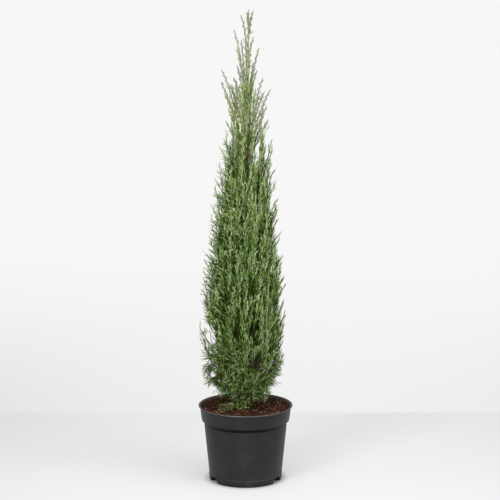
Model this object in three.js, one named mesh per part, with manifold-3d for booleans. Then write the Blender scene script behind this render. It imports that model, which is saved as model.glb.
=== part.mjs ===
// A young arizona cypress in a black nursery pot.
// Millimetres, +Z up. The origin is the centre of the pot's underside and -Y is the front.

import * as THREE from "three";
import { mergeVertices } from "three/addons/utils/BufferGeometryUtils.js";
import Module from "manifold-3d";

const wasm = await Module();
wasm.setup();

// Clear gap between neighbouring parts
const GAP = 0.3;

// Pot: tapered wall, stepped collar, thin lip and arched drain notches round the foot
const RIM_RADIUS = 95;
const POT_HEIGHT = 153;
const LIP_WIDTH = 3.6;
const LIP_HEIGHT = 3.4;
const COLLAR_HEIGHT = 34;
const COLLAR_TAPER = 3;
const COLLAR_STEP = 5.4;
const STEP_HEIGHT = 6;
const WALL_FOOT_RADIUS = 74;
const FOOT_RADIUS = 72.8;
const FOOT_HEIGHT = 13;
const FOOT_WIDTH = 3.4;
const WALL = 1.8;
const FLOOR_LIFT = 5;
const POT_SIDES = 48;
const NOTCH_COUNT = 3;
const NOTCH_WIDTH = 28;
const NOTCH_HEIGHT = 11;
const NOTCH_DEPTH = 24;

// Soil: filled to just under the rim, a little higher round the trunk
const SOIL_DROP = 10;
const SOIL_MOUND = 4;

// Trunk: foot left of the pot's axis, tip right of it, with a shallow bow
const TRUNK_FOOT_X = -7;
const TRUNK_TIP_X = 4;
const TRUNK_BOW = -1;
const TRUNK_TIP_HEIGHT = 800;
const TRUNK_FOOT_RADIUS = 6.4;
const TRUNK_TIP_RADIUS = 1.7;
const ROOT_FLARE = 2.6;
const ROOT_FLARE_HEIGHT = 16;

// Crown: outline as shares of its height and of its widest radius
const CROWN_FOOT = 150;
const CROWN_TOP = 945;
const CROWN_RADIUS = 84;
const CROWN_OUTLINE = [
  [0.0, 0.42], [0.03, 0.6], [0.06, 0.84], [0.12, 0.93], [0.2, 1.0], [0.29, 0.98], [0.42, 0.84],
  [0.58, 0.66], [0.69, 0.55], [0.8, 0.49], [0.86, 0.28], [0.94, 0.19], [1.0, 0.05],
];

// Masses follow one spiral up the trunk: its turns, the masses in a turn, and the layers
// they lie between, by their heights at the outline and at the trunk
const TURNS = 9;
const SPIRAL_START = -0.55;
const SPIRAL_BEARING = 4.25;
const MASSES_LOW = 5.3;
const MASSES_HIGH = 2.8;
const OUTER_LOW = 158;
const OUTER_HIGH = 862;
const OUTER_EASE = 1.2;
const ROOT_LOW = 164;
const ROOT_HIGH = 782;
const ROOT_EASE = 1.95;
const CLIMB_START = 0.45;
const BOUGHS_UP_TO = 0.42;

// Boughs and stems
const BOUGH_REACH = 0.36;
const BOUGH_FOOT_RADIUS = 2.9;
const BOUGH_TIP_RADIUS = 1.9;
const STEM_RADIUS = 1.6;
const TWIG_RADIUS = 1.1;

// Plumes: a slim core on each twig with shoots standing out of it
const PLUME_SEED = 721;
const PLUMES_PER_MASS = 3;
const INNER_PLUMES_UP_TO = 0.36;
const PLUME_SPREAD = 0.68;
const PLUME_OUTLINE = [[0, 0], [0.1, 0.05], [0.13, 0.14], [0.85, 0.32], [1, 0.54], [0.68, 0.8], [0, 1]];
const CORE_RADIUS = 16;
const CORE_FLATNESS = 0.55;
const CORE_SIDES = 5;
const TIP_LENGTH = 18;
const SHOOTS_PER_PLUME = 5;
const SHOOT_LENGTH = 50;
const SHOOT_RADIUS = 4;
const SHOOT_ANGLE = 0.58;
const SHOOT_LIFT = 0.22;
const SPACE_MARGIN = 4;
const SMOOTHING = 0.3;
const CUT_SMOOTHING = 0.05;

// Leader: the green top shoot above the trunk, with side shoots turning round it
const LEADER_RADIUS = 1.5;
const LEADER_SHOOTS = 9;
const LEADER_SHOOT_LENGTH = 66;
const LEADER_TURN = 0.4;
const GOLDEN_ANGLE = Math.PI * (3 - Math.sqrt(5));

const COLOURS = {
  pot: 0x2e2d2d,
  soil: 0x4a332b,
  trunk: 0x6b4a37,
  bough: 0x74563c,
  leader: 0x8aa35c,
  foliage: [0x5c7a44, 0x67864c, 0x718f55, 0x5f8054],
};

function mix(from, to, share) {
  return from + (to - from) * share;
}

// Even numbers from 0 to 1 out of one seed
function seeded(seed) {
  let state = Math.imul(seed, 2654435761) >>> 0;
  return () => {
    state = (Math.imul(state, 1664525) + 1013904223) >>> 0;
    return state / 4294967296;
  };
}

// Solids from geometry and back
function solid(geometry) {
  const bare = geometry.clone();
  bare.deleteAttribute("normal");
  bare.deleteAttribute("uv");
  const merged = mergeVertices(bare, 1e-4);
  const corners = merged.index.array;
  const kept = [];
  for (let i = 0; i < corners.length; i += 3) {
    const [a, b, c] = [corners[i], corners[i + 1], corners[i + 2]];
    if (a !== b && b !== c && c !== a) {
      kept.push(a, b, c);
    }
  }
  const mesh = new wasm.Mesh({
    numProp: 3,
    vertProperties: merged.attributes.position.array,
    triVerts: new Uint32Array(kept),
  });
  return new wasm.Manifold(mesh);
}

// True where every edge of the welded surface is shared by just two faces
function isSound(shape) {
  const bare = geometryOf(shape);
  bare.deleteAttribute("normal");
  const corners = mergeVertices(bare, 1e-3).index.array;
  const uses = new Map();
  for (let i = 0; i < corners.length; i += 1) {
    const next = i % 3 === 2 ? i - 2 : i + 1;
    const low = Math.min(corners[i], corners[next]);
    const high = Math.max(corners[i], corners[next]);
    const key = `${low} ${high}`;
    uses.set(key, (uses.get(key) ?? 0) + 1);
  }
  return [...uses.values()].every((count) => count === 2);
}

// The largest body of a fused shape: closes a sealed hollow and drops a loose scrap
function oneBody(shape, smoothing) {
  let tolerance = smoothing;
  let body = shape;
  do {
    const bodies = shape.asOriginal().simplify(tolerance).decompose();
    body = bodies.reduce((best, other) => (other.volume() > best.volume() ? other : best));
    tolerance *= 0.6;
  } while (!isSound(body) && tolerance > smoothing / 30);
  return body;
}

function geometryOf(shape) {
  const mesh = shape.getMesh();
  const geometry = new THREE.BufferGeometry();
  geometry.setAttribute("position", new THREE.BufferAttribute(mesh.vertProperties, 3));
  geometry.setIndex(new THREE.BufferAttribute(mesh.triVerts, 1));
  geometry.computeVertexNormals();
  return geometry;
}

function node(name, geometry, colour, roughness) {
  const material = new THREE.MeshStandardMaterial({ color: colour, roughness, metalness: 0 });
  const mesh = new THREE.Mesh(geometry, material);
  mesh.name = name;
  return mesh;
}

// A round profile of [radius, height] pairs, bottom to top, turned about the Z axis
function turned(pairs, sides) {
  const points = pairs.map(([radius, height]) => new THREE.Vector2(radius, height));
  const geometry = new THREE.LatheGeometry(points, sides);
  geometry.rotateX(Math.PI / 2);
  return geometry;
}

// The heading of a curve at s, the direction across it and the one square to both
function frameAt(curve, s, across) {
  const heading = curve.getTangentAt(s);
  const side = across.clone().addScaledVector(heading, -across.dot(heading)).normalize();
  const outward = side.clone().cross(heading);
  return { heading, side, outward };
}

function acrossBearing(bearing) {
  return new THREE.Vector3(-Math.sin(bearing), Math.cos(bearing), 0);
}

// Bends a geometry that stands along Y from 0 to 1 onto a curve
function bend(geometry, curve, across) {
  const position = geometry.attributes.position;
  const vertex = new THREE.Vector3();
  for (let i = 0; i < position.count; i += 1) {
    vertex.fromBufferAttribute(position, i);
    const s = Math.min(Math.max(vertex.y, 0), 1);
    const { side, outward } = frameAt(curve, s, across);
    const place = curve.getPointAt(s);
    place.addScaledVector(side, vertex.x);
    place.addScaledVector(outward, vertex.z);
    position.setXYZ(i, place.x, place.y, place.z);
  }
  return geometry;
}

// A tapering limb along a curve, with flat ends square to it
function limb(curve, across, radiusAt, sides, steps) {
  const geometry = new THREE.CylinderGeometry(1, 1, 1, sides, steps);
  geometry.translate(0, 0.5, 0);
  const position = geometry.attributes.position;
  for (let i = 0; i < position.count; i += 1) {
    const radius = radiusAt(position.getY(i));
    position.setX(i, position.getX(i) * radius);
    position.setZ(i, position.getZ(i) * radius);
  }
  return bend(geometry, curve, across);
}

// A plume along a curve: a thin twig that swells into a flattened, pointed core
function plumeCore(curve, across, radius, flatness, sides) {
  const points = PLUME_OUTLINE.map(([share, height]) => new THREE.Vector2(share * radius, height));
  const geometry = new THREE.LatheGeometry(points, sides);
  geometry.scale(1, 1, flatness);
  return bend(geometry, curve, across);
}

// Draws the corners of a plume in towards its curve where they would leave the space
function drawIn(geometry, curve, space) {
  const samples = curve.getSpacedPoints(60);
  const position = geometry.attributes.position;
  const corner = new THREE.Vector3();
  for (let i = 0; i < position.count; i += 1) {
    corner.fromBufferAttribute(position, i);
    const nearest = samples.reduce((best, point) =>
      (point.distanceTo(corner) < best.distanceTo(corner) ? point : best));
    for (let tries = 0; tries < 6 && !insideSpace(space, corner); tries += 1) {
      corner.lerp(nearest, corner.distanceTo(nearest) > 2 ? 0.3 : 0);
    }
    position.setXYZ(i, corner.x, corner.y, corner.z);
  }
  return geometry;
}

// A slim three-sided shoot from its root along a heading
function shoot(root, heading, length, radius) {
  const cone = new THREE.ConeGeometry(radius, length, 3);
  cone.translate(0, length / 2, 0);
  cone.applyQuaternion(new THREE.Quaternion().setFromUnitVectors(new THREE.Vector3(0, 1, 0), heading));
  cone.translate(root.x, root.y, root.z);
  return solid(cone);
}

// Pot
function potOuter() {
  const collarTop = RIM_RADIUS - LIP_WIDTH;
  const collarFoot = collarTop - COLLAR_TAPER;
  const wallTop = collarFoot - COLLAR_STEP;
  const collarBase = POT_HEIGHT - COLLAR_HEIGHT;
  return [
    [FOOT_RADIUS, 0],
    [WALL_FOOT_RADIUS, FOOT_HEIGHT],
    [wallTop, collarBase - STEP_HEIGHT],
    [collarFoot, collarBase],
    [collarTop, POT_HEIGHT - LIP_HEIGHT],
    [RIM_RADIUS, POT_HEIGHT - LIP_HEIGHT + 1],
    [RIM_RADIUS, POT_HEIGHT],
  ];
}

function potInner() {
  const [, foot, wallTop, collarFoot, collarTop] = potOuter();
  return [
    [foot[0] - WALL, FLOOR_LIFT + WALL],
    [wallTop[0] - WALL, wallTop[1] + WALL / 2],
    [collarFoot[0] - WALL, collarFoot[1] + WALL / 2],
    [collarTop[0] - WALL, collarTop[1]],
  ];
}

function buildPot() {
  const profile = [
    [0, FLOOR_LIFT],
    [FOOT_RADIUS - FOOT_WIDTH - 2, FLOOR_LIFT],
    [FOOT_RADIUS - FOOT_WIDTH, 0],
    ...potOuter(),
    [RIM_RADIUS - LIP_WIDTH, POT_HEIGHT],
    ...potInner().reverse(),
    [0, FLOOR_LIFT + WALL],
  ];
  let pot = solid(turned(profile, POT_SIDES));
  const arch = new THREE.Shape();
  arch.moveTo(-NOTCH_WIDTH / 2, -1);
  arch.lineTo(NOTCH_WIDTH / 2, -1);
  arch.lineTo(NOTCH_WIDTH / 2 - 2, NOTCH_HEIGHT * 0.7);
  arch.lineTo(NOTCH_WIDTH / 2 - 7, NOTCH_HEIGHT);
  arch.lineTo(7 - NOTCH_WIDTH / 2, NOTCH_HEIGHT);
  arch.lineTo(2 - NOTCH_WIDTH / 2, NOTCH_HEIGHT * 0.7);
  for (let i = 0; i < NOTCH_COUNT; i += 1) {
    const cutter = new THREE.ExtrudeGeometry(arch, { depth: NOTCH_DEPTH, bevelEnabled: false });
    cutter.rotateX(Math.PI / 2);
    cutter.translate(0, FOOT_RADIUS + NOTCH_DEPTH / 2, 0);
    cutter.rotateZ((i * 2 * Math.PI) / NOTCH_COUNT);
    pot = pot.subtract(solid(cutter));
  }
  return geometryOf(pot);
}

function soilTop() {
  return POT_HEIGHT - SOIL_DROP + SOIL_MOUND;
}

function buildSoil() {
  const inner = potInner();
  const edge = POT_HEIGHT - SOIL_DROP;
  const [, , collarFoot, collarTop] = inner;
  const share = (edge - collarFoot[1]) / (collarTop[1] - collarFoot[1]);
  const fill = inner.slice(0, 3).map(([radius, height]) => [radius - 2 * GAP, height + GAP]);
  const profile = [
    [0, inner[0][1] + GAP],
    ...fill,
    [mix(collarFoot[0], collarTop[0], share) - 2 * GAP, edge],
    [RIM_RADIUS * 0.55, edge + SOIL_MOUND * 0.6],
    [RIM_RADIUS * 0.2, soilTop()],
    [0, soilTop()],
  ];
  return turned(profile, POT_SIDES);
}

// Trunk
function trunkShare(height) {
  return (height - soilTop()) / (TRUNK_TIP_HEIGHT - soilTop());
}

function trunkAxis(height) {
  const share = trunkShare(height);
  const bow = share < 1 ? TRUNK_BOW * Math.sin(Math.PI * share) : 0;
  return mix(TRUNK_FOOT_X, TRUNK_TIP_X, share) + bow;
}

function trunkRadius(height) {
  const flare = ROOT_FLARE * Math.exp(-(height - soilTop()) / ROOT_FLARE_HEIGHT);
  const share = Math.min(trunkShare(height), 1);
  return mix(TRUNK_FOOT_RADIUS, TRUNK_TIP_RADIUS, share ** 0.85) + flare;
}

function trunkSolid(clearance) {
  const steps = 20;
  const foot = soilTop() + GAP - clearance;
  const top = TRUNK_TIP_HEIGHT + clearance;
  const points = [];
  for (let i = 0; i <= steps; i += 1) {
    const height = mix(foot, top, (i / steps) ** 1.4);
    points.push([height, trunkRadius(height) + clearance]);
  }
  const geometry = turned([[0, foot], ...points.map(([height, radius]) => [radius, height]), [0, top]], 9);
  const position = geometry.attributes.position;
  for (let i = 0; i < position.count; i += 1) {
    position.setX(i, position.getX(i) + trunkAxis(position.getZ(i)));
  }
  return geometry;
}

// Crown coordinates: layer t from 0 to 1, reach u from the trunk to the outline, bearing
function crownRadius(height) {
  const share = (height - CROWN_FOOT) / (CROWN_TOP - CROWN_FOOT);
  for (let i = 1; i < CROWN_OUTLINE.length; i += 1) {
    const [low, from] = CROWN_OUTLINE[i - 1];
    const [high, to] = CROWN_OUTLINE[i];
    if (share < high) {
      return CROWN_RADIUS * mix(from, to, Math.max(0, (share - low) / (high - low)));
    }
  }
  return CROWN_RADIUS * CROWN_OUTLINE.at(-1)[1];
}

function outerHeight(t) {
  return mix(OUTER_LOW, OUTER_HIGH, t ** OUTER_EASE);
}

function rootHeight(t) {
  return mix(ROOT_LOW, ROOT_HIGH, t ** ROOT_EASE);
}

function climb(u) {
  return u < 1 ? CLIMB_START * u + (1 - CLIMB_START) * u * u : 1;
}

function layerHeight(t, radius) {
  const reach = radius / crownRadius(outerHeight(t));
  return mix(rootHeight(t), outerHeight(t), climb(reach));
}

function crownPoint(t, u, bearing) {
  const radius = u * crownRadius(outerHeight(t));
  const height = mix(rootHeight(t), outerHeight(t), climb(u));
  const x = trunkAxis(height) + radius * Math.cos(bearing);
  return new THREE.Vector3(x, radius * Math.sin(bearing), height);
}

// A mass keeps to its own space: one turn of the spiral high, inside its sector, clear of
// the trunk, the pot and the leader
function layersAt(space, offset) {
  const low = space.low + offset / (2 * Math.PI * TURNS);
  return [Math.max(low, 0), Math.min(low + 1 / TURNS, 1)];
}

function insideSpace(space, point) {
  const x = point.x - trunkAxis(point.z);
  const radius = Math.hypot(x, point.y);
  if (radius < trunkRadius(point.z) + 1.5 || point.z < POT_HEIGHT + 1) {
    return false;
  }
  if (Math.max(Math.abs(point.x), Math.abs(point.y)) > RIM_RADIUS - 0.5) {
    return false;
  }
  const turn = Math.atan2(point.y, x) - space.bearing;
  const offset = Math.atan2(Math.sin(turn), Math.cos(turn));
  const [low, high] = layersAt(space, offset);
  const aboveLow = point.z > layerHeight(low, radius) + SPACE_MARGIN;
  const belowHigh = point.z < layerHeight(high, radius) - SPACE_MARGIN;
  return aboveLow && belowHigh && Math.abs(offset) < space.halfAngle - 1 / radius;
}

// The spiral shared out into masses, each with its bearing, sector and lowest layer
function crownSpaces() {
  const spaces = [];
  let turn = SPIRAL_START;
  while (turn < TURNS - 1) {
    const count = Math.round(mix(MASSES_LOW, MASSES_HIGH, Math.max(0, turn) / (TURNS - 1)));
    const middle = turn + 0.5 / count;
    const low = middle / TURNS;
    spaces.push({
      low,
      middle: (Math.max(low, 0) + Math.min(low + 1 / TURNS, 1)) / 2,
      bearing: SPIRAL_BEARING + 2 * Math.PI * middle,
      halfAngle: Math.PI / count,
    });
    turn += 1 / count;
  }
  return spaces;
}

// A curve through the crown from one place to another, ending in a straight tip
function crownCurve(from, to, tipLength) {
  const points = [];
  for (let i = 0; i <= 6; i += 1) {
    const s = i / 6;
    const t = mix(from.t, to.t, s);
    points.push(crownPoint(t, mix(from.u, to.u, s), mix(from.bearing, to.bearing, s)));
  }
  if (tipLength > 0) {
    const heading = points[6].clone().sub(points[5]).normalize();
    points.push(points[6].clone().addScaledVector(heading, tipLength));
  }
  return new THREE.CatmullRomCurve3(points, false, "centripetal");
}

// Where the plumes of a mass end: side by side at the outline, and low in the crown one
// more that climbs close to the trunk
function plumeEnds(space, index) {
  const random = seeded(PLUME_SEED + index);
  const ends = [];
  for (let k = 0; k < PLUMES_PER_MASS; k += 1) {
    const side = (2 * k) / (PLUMES_PER_MASS - 1) - 1;
    const offset = space.halfAngle * (PLUME_SPREAD * side + 0.16 * (random() - 0.5));
    const [low, high] = layersAt(space, offset);
    ends.push({
      t: mix(low, high, 0.3 + 0.36 * random()),
      u: 0.9 + 0.1 * random(),
      bearing: space.bearing + offset,
      tip: TIP_LENGTH * (0.5 + random()),
    });
  }
  if (space.middle < INNER_PLUMES_UP_TO) {
    const [low, high] = layersAt(space, 0);
    ends.push({ t: mix(low, high, 0.8), u: 0.62, bearing: space.bearing, tip: TIP_LENGTH });
  }
  return ends;
}

// A plume's curve, drawn back until its tip is inside the space
function plumeCurve(space, root, end) {
  let curve = crownCurve(root, end, end.tip);
  while (end.u > root.u + 0.06 && !insideSpace(space, curve.getPoint(1))) {
    end.u -= 0.03;
    end.tip *= 0.8;
    curve = crownCurve(root, end, end.tip);
  }
  return curve;
}

// Shoots that stand out of a plume all round it and point along it
function plumeShoots(curve, across, space, length) {
  const made = [];
  for (let i = 0; i < SHOOTS_PER_PLUME; i += 1) {
    const s = mix(0.36, 0.9, (i + 0.5) / SHOOTS_PER_PLUME);
    const turn = i * GOLDEN_ANGLE;
    const { heading, side, outward } = frameAt(curve, s, across);
    heading.multiplyScalar(Math.cos(SHOOT_ANGLE));
    heading.addScaledVector(side, Math.sin(SHOOT_ANGLE) * Math.cos(turn));
    heading.addScaledVector(outward, Math.sin(SHOOT_ANGLE) * Math.sin(turn));
    heading.z += SHOOT_LIFT;
    heading.normalize();
    const root = curve.getPointAt(s);
    const reach = length * mix(1, 0.62, s);
    const tip = root.clone().addScaledVector(heading, reach);
    const middle = root.clone().lerp(tip, 0.5);
    if (insideSpace(space, tip) && insideSpace(space, middle)) {
      made.push(shoot(root, heading, reach, SHOOT_RADIUS));
    }
  }
  return made;
}

function buildBough(space, trunkClearance) {
  const from = { t: space.middle, u: 0, bearing: space.bearing };
  const to = { t: space.middle, u: BOUGH_REACH, bearing: space.bearing };
  const radiusAt = (s) => mix(BOUGH_FOOT_RADIUS, BOUGH_TIP_RADIUS, s);
  const across = acrossBearing(space.bearing);
  const bough = solid(limb(crownCurve(from, to, 0), across, radiusAt, 5, 3));
  return geometryOf(oneBody(bough.subtract(trunkClearance), CUT_SMOOTHING));
}

function hasBough(space) {
  return space.middle < BOUGHS_UP_TO;
}

function buildMass(space, index, trunkClearance) {
  const start = { t: space.middle, u: hasBough(space) ? BOUGH_REACH : 0, bearing: space.bearing };
  const fork = { ...start, u: start.u + 0.16 };
  const root = { ...start, u: fork.u - 0.05 };
  const across = acrossBearing(space.bearing);
  const stemCurve = crownCurve(start, fork, 0);
  const stem = limb(stemCurve, across, (s) => mix(STEM_RADIUS, TWIG_RADIUS, s), 3, 2);
  if (hasBough(space)) {
    const clear = stemCurve.getTangentAt(0).multiplyScalar(GAP);
    stem.translate(clear.x, clear.y, clear.z);
  }
  const pieces = [solid(stem)];
  const size = Math.min(1, (crownRadius(outerHeight(space.middle)) + 14) / 92);
  const flatness = mix(1, CORE_FLATNESS, Math.min(1, space.middle / 0.35));
  for (const end of plumeEnds(space, index)) {
    const curve = plumeCurve(space, root, end);
    const plumeAcross = acrossBearing(end.bearing);
    const core = plumeCore(curve, plumeAcross, CORE_RADIUS * size, flatness, CORE_SIDES);
    pieces.push(solid(drawIn(core, curve, space)));
    pieces.push(...plumeShoots(curve, plumeAcross, space, SHOOT_LENGTH * mix(0.7, 1, size)));
  }
  const mass = oneBody(pieces.reduce((whole, piece) => whole.add(piece)), SMOOTHING);
  if (hasBough(space)) {
    return geometryOf(mass);
  }
  return geometryOf(oneBody(mass.subtract(trunkClearance), CUT_SMOOTHING));
}

function buildLeader() {
  const foot = new THREE.Vector3(trunkAxis(TRUNK_TIP_HEIGHT), 0, TRUNK_TIP_HEIGHT + GAP);
  const top = new THREE.Vector3(trunkAxis(CROWN_TOP), 0, CROWN_TOP);
  const axis = new THREE.LineCurve3(foot, top);
  const front = new THREE.Vector3(1, 0, 0);
  const pieces = [solid(limb(axis, front, (s) => mix(LEADER_RADIUS, 0.5, s), 5, 4))];
  for (let i = 0; i < LEADER_SHOOTS; i += 1) {
    const s = mix(0.04, 0.76, i / (LEADER_SHOOTS - 1));
    const root = axis.getPointAt(s);
    const length = LEADER_SHOOT_LENGTH * mix(1, 0.42, s);
    const lean = mix(0.42, 0.26, s);
    const turn = LEADER_TURN + i * GOLDEN_ANGLE;
    const out = new THREE.Vector3(Math.cos(turn), Math.sin(turn), 0);
    const heading = out.clone().multiplyScalar(Math.sin(lean));
    heading.z = Math.cos(lean);
    const tip = root.clone().addScaledVector(heading, length);
    const elbow = root.clone().lerp(tip, 0.5).addScaledVector(out, 2);
    const curve = new THREE.CatmullRomCurve3([root, elbow, tip]);
    pieces.push(solid(plumeCore(curve, acrossBearing(turn), 4.2, 1, 4)));
    for (const side of [-0.8, 0.8]) {
      const twig = heading.clone().applyAxisAngle(new THREE.Vector3(0, 0, 1), side);
      pieces.push(shoot(curve.getPointAt(0.42), twig, length * 0.45, 1.8));
    }
  }
  return geometryOf(oneBody(pieces.reduce((whole, piece) => whole.add(piece)), SMOOTHING));
}

const cypress = new THREE.Group();
cypress.name = "arizona_cypress";

const container = new THREE.Group();
container.name = "container";
container.add(node("pot", buildPot(), COLOURS.pot, 0.55));
container.add(node("soil", buildSoil(), COLOURS.soil, 0.95));

const tree = new THREE.Group();
tree.name = "tree";
const trunkClearance = solid(trunkSolid(GAP));
tree.add(node("trunk", trunkSolid(0), COLOURS.trunk, 0.85));
crownSpaces().forEach((space, index) => {
  if (hasBough(space)) {
    tree.add(node(`bough_${index + 1}`, buildBough(space, trunkClearance), COLOURS.bough, 0.85));
  }
  const green = COLOURS.foliage[index % COLOURS.foliage.length];
  tree.add(node(`foliage_${index + 1}`, buildMass(space, index, trunkClearance), green, 0.75));
});
tree.add(node("foliage_leader", buildLeader(), COLOURS.leader, 0.75));

cypress.add(container, tree);

export default cypress;
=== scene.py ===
"""A young arizona cypress in a black nursery pot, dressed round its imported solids.

Sizes are in millimetres and become metres when a mesh is made. +Z is up, -Y is the front and
the origin is the centre of the pot's underside.
"""

import logging
import math
from dataclasses import dataclass, field
from enum import IntEnum
from typing import Any, Iterable, Sequence, Union

import bmesh
import bpy
import numpy as np
from mathutils import Matrix, Vector, noise


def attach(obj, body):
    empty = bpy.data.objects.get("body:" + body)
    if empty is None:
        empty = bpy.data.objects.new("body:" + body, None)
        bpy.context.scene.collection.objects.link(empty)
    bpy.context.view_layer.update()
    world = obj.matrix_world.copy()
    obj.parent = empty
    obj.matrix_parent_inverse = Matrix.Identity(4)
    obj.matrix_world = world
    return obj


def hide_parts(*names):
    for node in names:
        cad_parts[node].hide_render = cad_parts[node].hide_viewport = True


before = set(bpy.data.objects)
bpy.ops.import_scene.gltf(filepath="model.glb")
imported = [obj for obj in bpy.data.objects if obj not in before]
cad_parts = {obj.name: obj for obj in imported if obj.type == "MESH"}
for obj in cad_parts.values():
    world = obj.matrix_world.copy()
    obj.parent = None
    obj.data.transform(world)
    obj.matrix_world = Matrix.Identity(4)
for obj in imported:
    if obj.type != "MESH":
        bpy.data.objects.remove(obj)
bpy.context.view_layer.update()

MM = 0.001
GOLDEN_ANGLE = math.pi * (3 - math.sqrt(5))
# Steps whose multiples fall evenly between 0 and 1
EVEN_STEP, SECOND_STEP = 0.618, 0.7549
BODY = "root"
# The plume number of sprigs by the soil, which belong to no plume
GROUND = 10**6
UP = np.array((0.0, 0.0, 1.0))
# Points along a plume's axis, a feather and a shoot, and a feather's middle point
AXIS_STEPS, FEATHER_STEPS, SHOOT_STEPS, FEATHER_MIDDLE = 25, 8, 3, 5
SMOOTH = {"interpolation_type": "SMOOTHSTEP", "clamp": True}

Array = np.ndarray
Pair = tuple[float, float]
Triple = tuple[float, float, float]
Quad = tuple[float, float, float, float]
Colour = Triple
Shape = bmesh.types.BMesh
Piece = bpy.types.Object
Material = bpy.types.Material
Operand = Union["Signal", float]

log = logging.getLogger("cypress")


# Shader maths
class Signal:
    """A node's output that takes part in Python sums."""

    def __init__(self, recipe: "Recipe", socket: bpy.types.NodeSocket) -> None:
        """Wraps one output socket of a recipe's node tree."""
        self.recipe = recipe
        self.socket = socket

    def _math(self, operation: str, first: Operand, second: Operand) -> "Signal":
        """Adds a Math node for two operands."""
        return self.recipe.node("ShaderNodeMath", {"operation": operation}, {0: first, 1: second})

    def __add__(self, other: Operand) -> "Signal":
        """Sum with a value or a number."""
        return self._math("ADD", self, other)

    __radd__ = __add__

    def __sub__(self, other: Operand) -> "Signal":
        """Difference, this one first."""
        return self._math("SUBTRACT", self, other)

    def __rsub__(self, other: Operand) -> "Signal":
        """Difference, the other first."""
        return self._math("SUBTRACT", other, self)

    def __mul__(self, other: Operand) -> "Signal":
        """Product with a value or a number."""
        return self._math("MULTIPLY", self, other)

    __rmul__ = __mul__

    def __pow__(self, other: Operand) -> "Signal":
        """This one raised to a power."""
        return self._math("POWER", self, other)

    def rise(self, low: float, high: float) -> "Signal":
        """A smooth step from 0 at low to 1 at high."""
        sockets = {"Value": self, "From Min": low, "From Max": high}
        return self.recipe.node("ShaderNodeMapRange", SMOOTH, sockets)


class Recipe:
    """The node tree of a material or a world, built node by node."""

    def __init__(self, owner: Material | bpy.types.World) -> None:
        """Starts an empty tree in its owner.

        Args:
            owner: The material or world that the tree shades.
        """
        self.owner = owner
        owner.use_nodes = True
        self.tree = owner.node_tree
        self.tree.nodes.clear()

    def node(
        self, kind: str, settings: dict[str, Any] | None = None,
        sockets: dict[str | int, Any] | None = None, output: str | int = 0,
    ) -> Signal:
        """Adds a node, its settings first and its sockets after them.

        Args:
            kind: The node's type name.
            settings: Values of the node's own properties; stops are a ramp's (place, colour) pairs.
            sockets: Values or signals of its inputs, by name or number.
            output: The output to hand back, by name or number.

        Returns:
            The chosen output.
        """
        made = self.tree.nodes.new(kind)
        for name, value in (settings or {}).items():
            if name == "stops":
                elements = made.color_ramp.elements
                while len(elements) < len(value):
                    elements.new(1.0)
                for element, (place, colour) in zip(elements, value):
                    element.position = place
                    element.color = (*colour, 1.0)
            else:
                setattr(made, name, value)
        for name, value in (sockets or {}).items():
            target = made.inputs[name]
            if isinstance(value, Signal):
                self.tree.links.new(value.socket, target)
            else:
                target.default_value = value
        return Signal(self, made.outputs[output])

    def place(self, scale: Sequence[float] = (1.0, 1.0, 1.0)) -> Signal:
        """Object coordinates, scaled along each axis by a Mapping node."""
        point = self.node("ShaderNodeTexCoord", output="Object")
        return self.node("ShaderNodeMapping", None, {"Vector": point, "Scale": tuple(scale)})

    def grain(self, point: Signal, scale: float, detail: float, rough: float = 0.55) -> Signal:
        """Noise about 0.5 at a point, with a scale in grains to the metre."""
        sockets = {"Vector": point, "Scale": scale, "Detail": detail, "Roughness": rough}
        return self.node("ShaderNodeTexNoise", None, sockets)

    def ramp(self, value: Signal, stops: Sequence[tuple[float, Colour]]) -> Signal:
        """A colour ramp along a value, from stops of place and colour."""
        return self.node("ShaderNodeValToRGB", {"stops": stops}, {"Fac": value})

    def blend(self, share: Operand, first: Signal | Colour, second: Signal | Colour) -> Signal:
        """A mix of two colours, the first at a share of 0 and the second at 1."""
        ends = [c if isinstance(c, Signal) else (*c, 1.0) for c in (first, second)]
        return self.node("ShaderNodeMix", {"data_type": "RGBA"}, {0: share, 6: ends[0], 7: ends[1]}, output=2)

    def bump(self, height: Signal, depth: float, strength: float) -> Signal:
        """A normal bumped by a relief of 0 to 1, its depth in metres."""
        sockets = {"Height": height, "Distance": depth, "Strength": strength}
        return self.node("ShaderNodeBump", None, sockets)

    def surface(self, base: Signal | Colour, rough: Operand, gloss: float, **more: Any) -> Material:
        """Ends the tree in one Principled shader.

        Args:
            base: Its colour.
            rough: Its roughness.
            gloss: Its specular level.
            more: Its other inputs, with _ for a space.

        Returns:
            The finished material.
        """
        colour = base if isinstance(base, Signal) else (*base, 1.0)
        sockets = {"Base Color": colour, "Roughness": rough, "Specular IOR Level": gloss}
        sockets.update((name.replace("_", " "), value) for name, value in more.items())
        self.end("ShaderNodeOutputMaterial", self.node("ShaderNodeBsdfPrincipled", None, sockets))
        return self.owner

    def end(self, kind: str, shader: Signal) -> None:
        """Links a shader to the tree's output node."""
        output = self.tree.nodes.new(kind)
        self.tree.links.new(shader.socket, output.inputs["Surface"])


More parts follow.
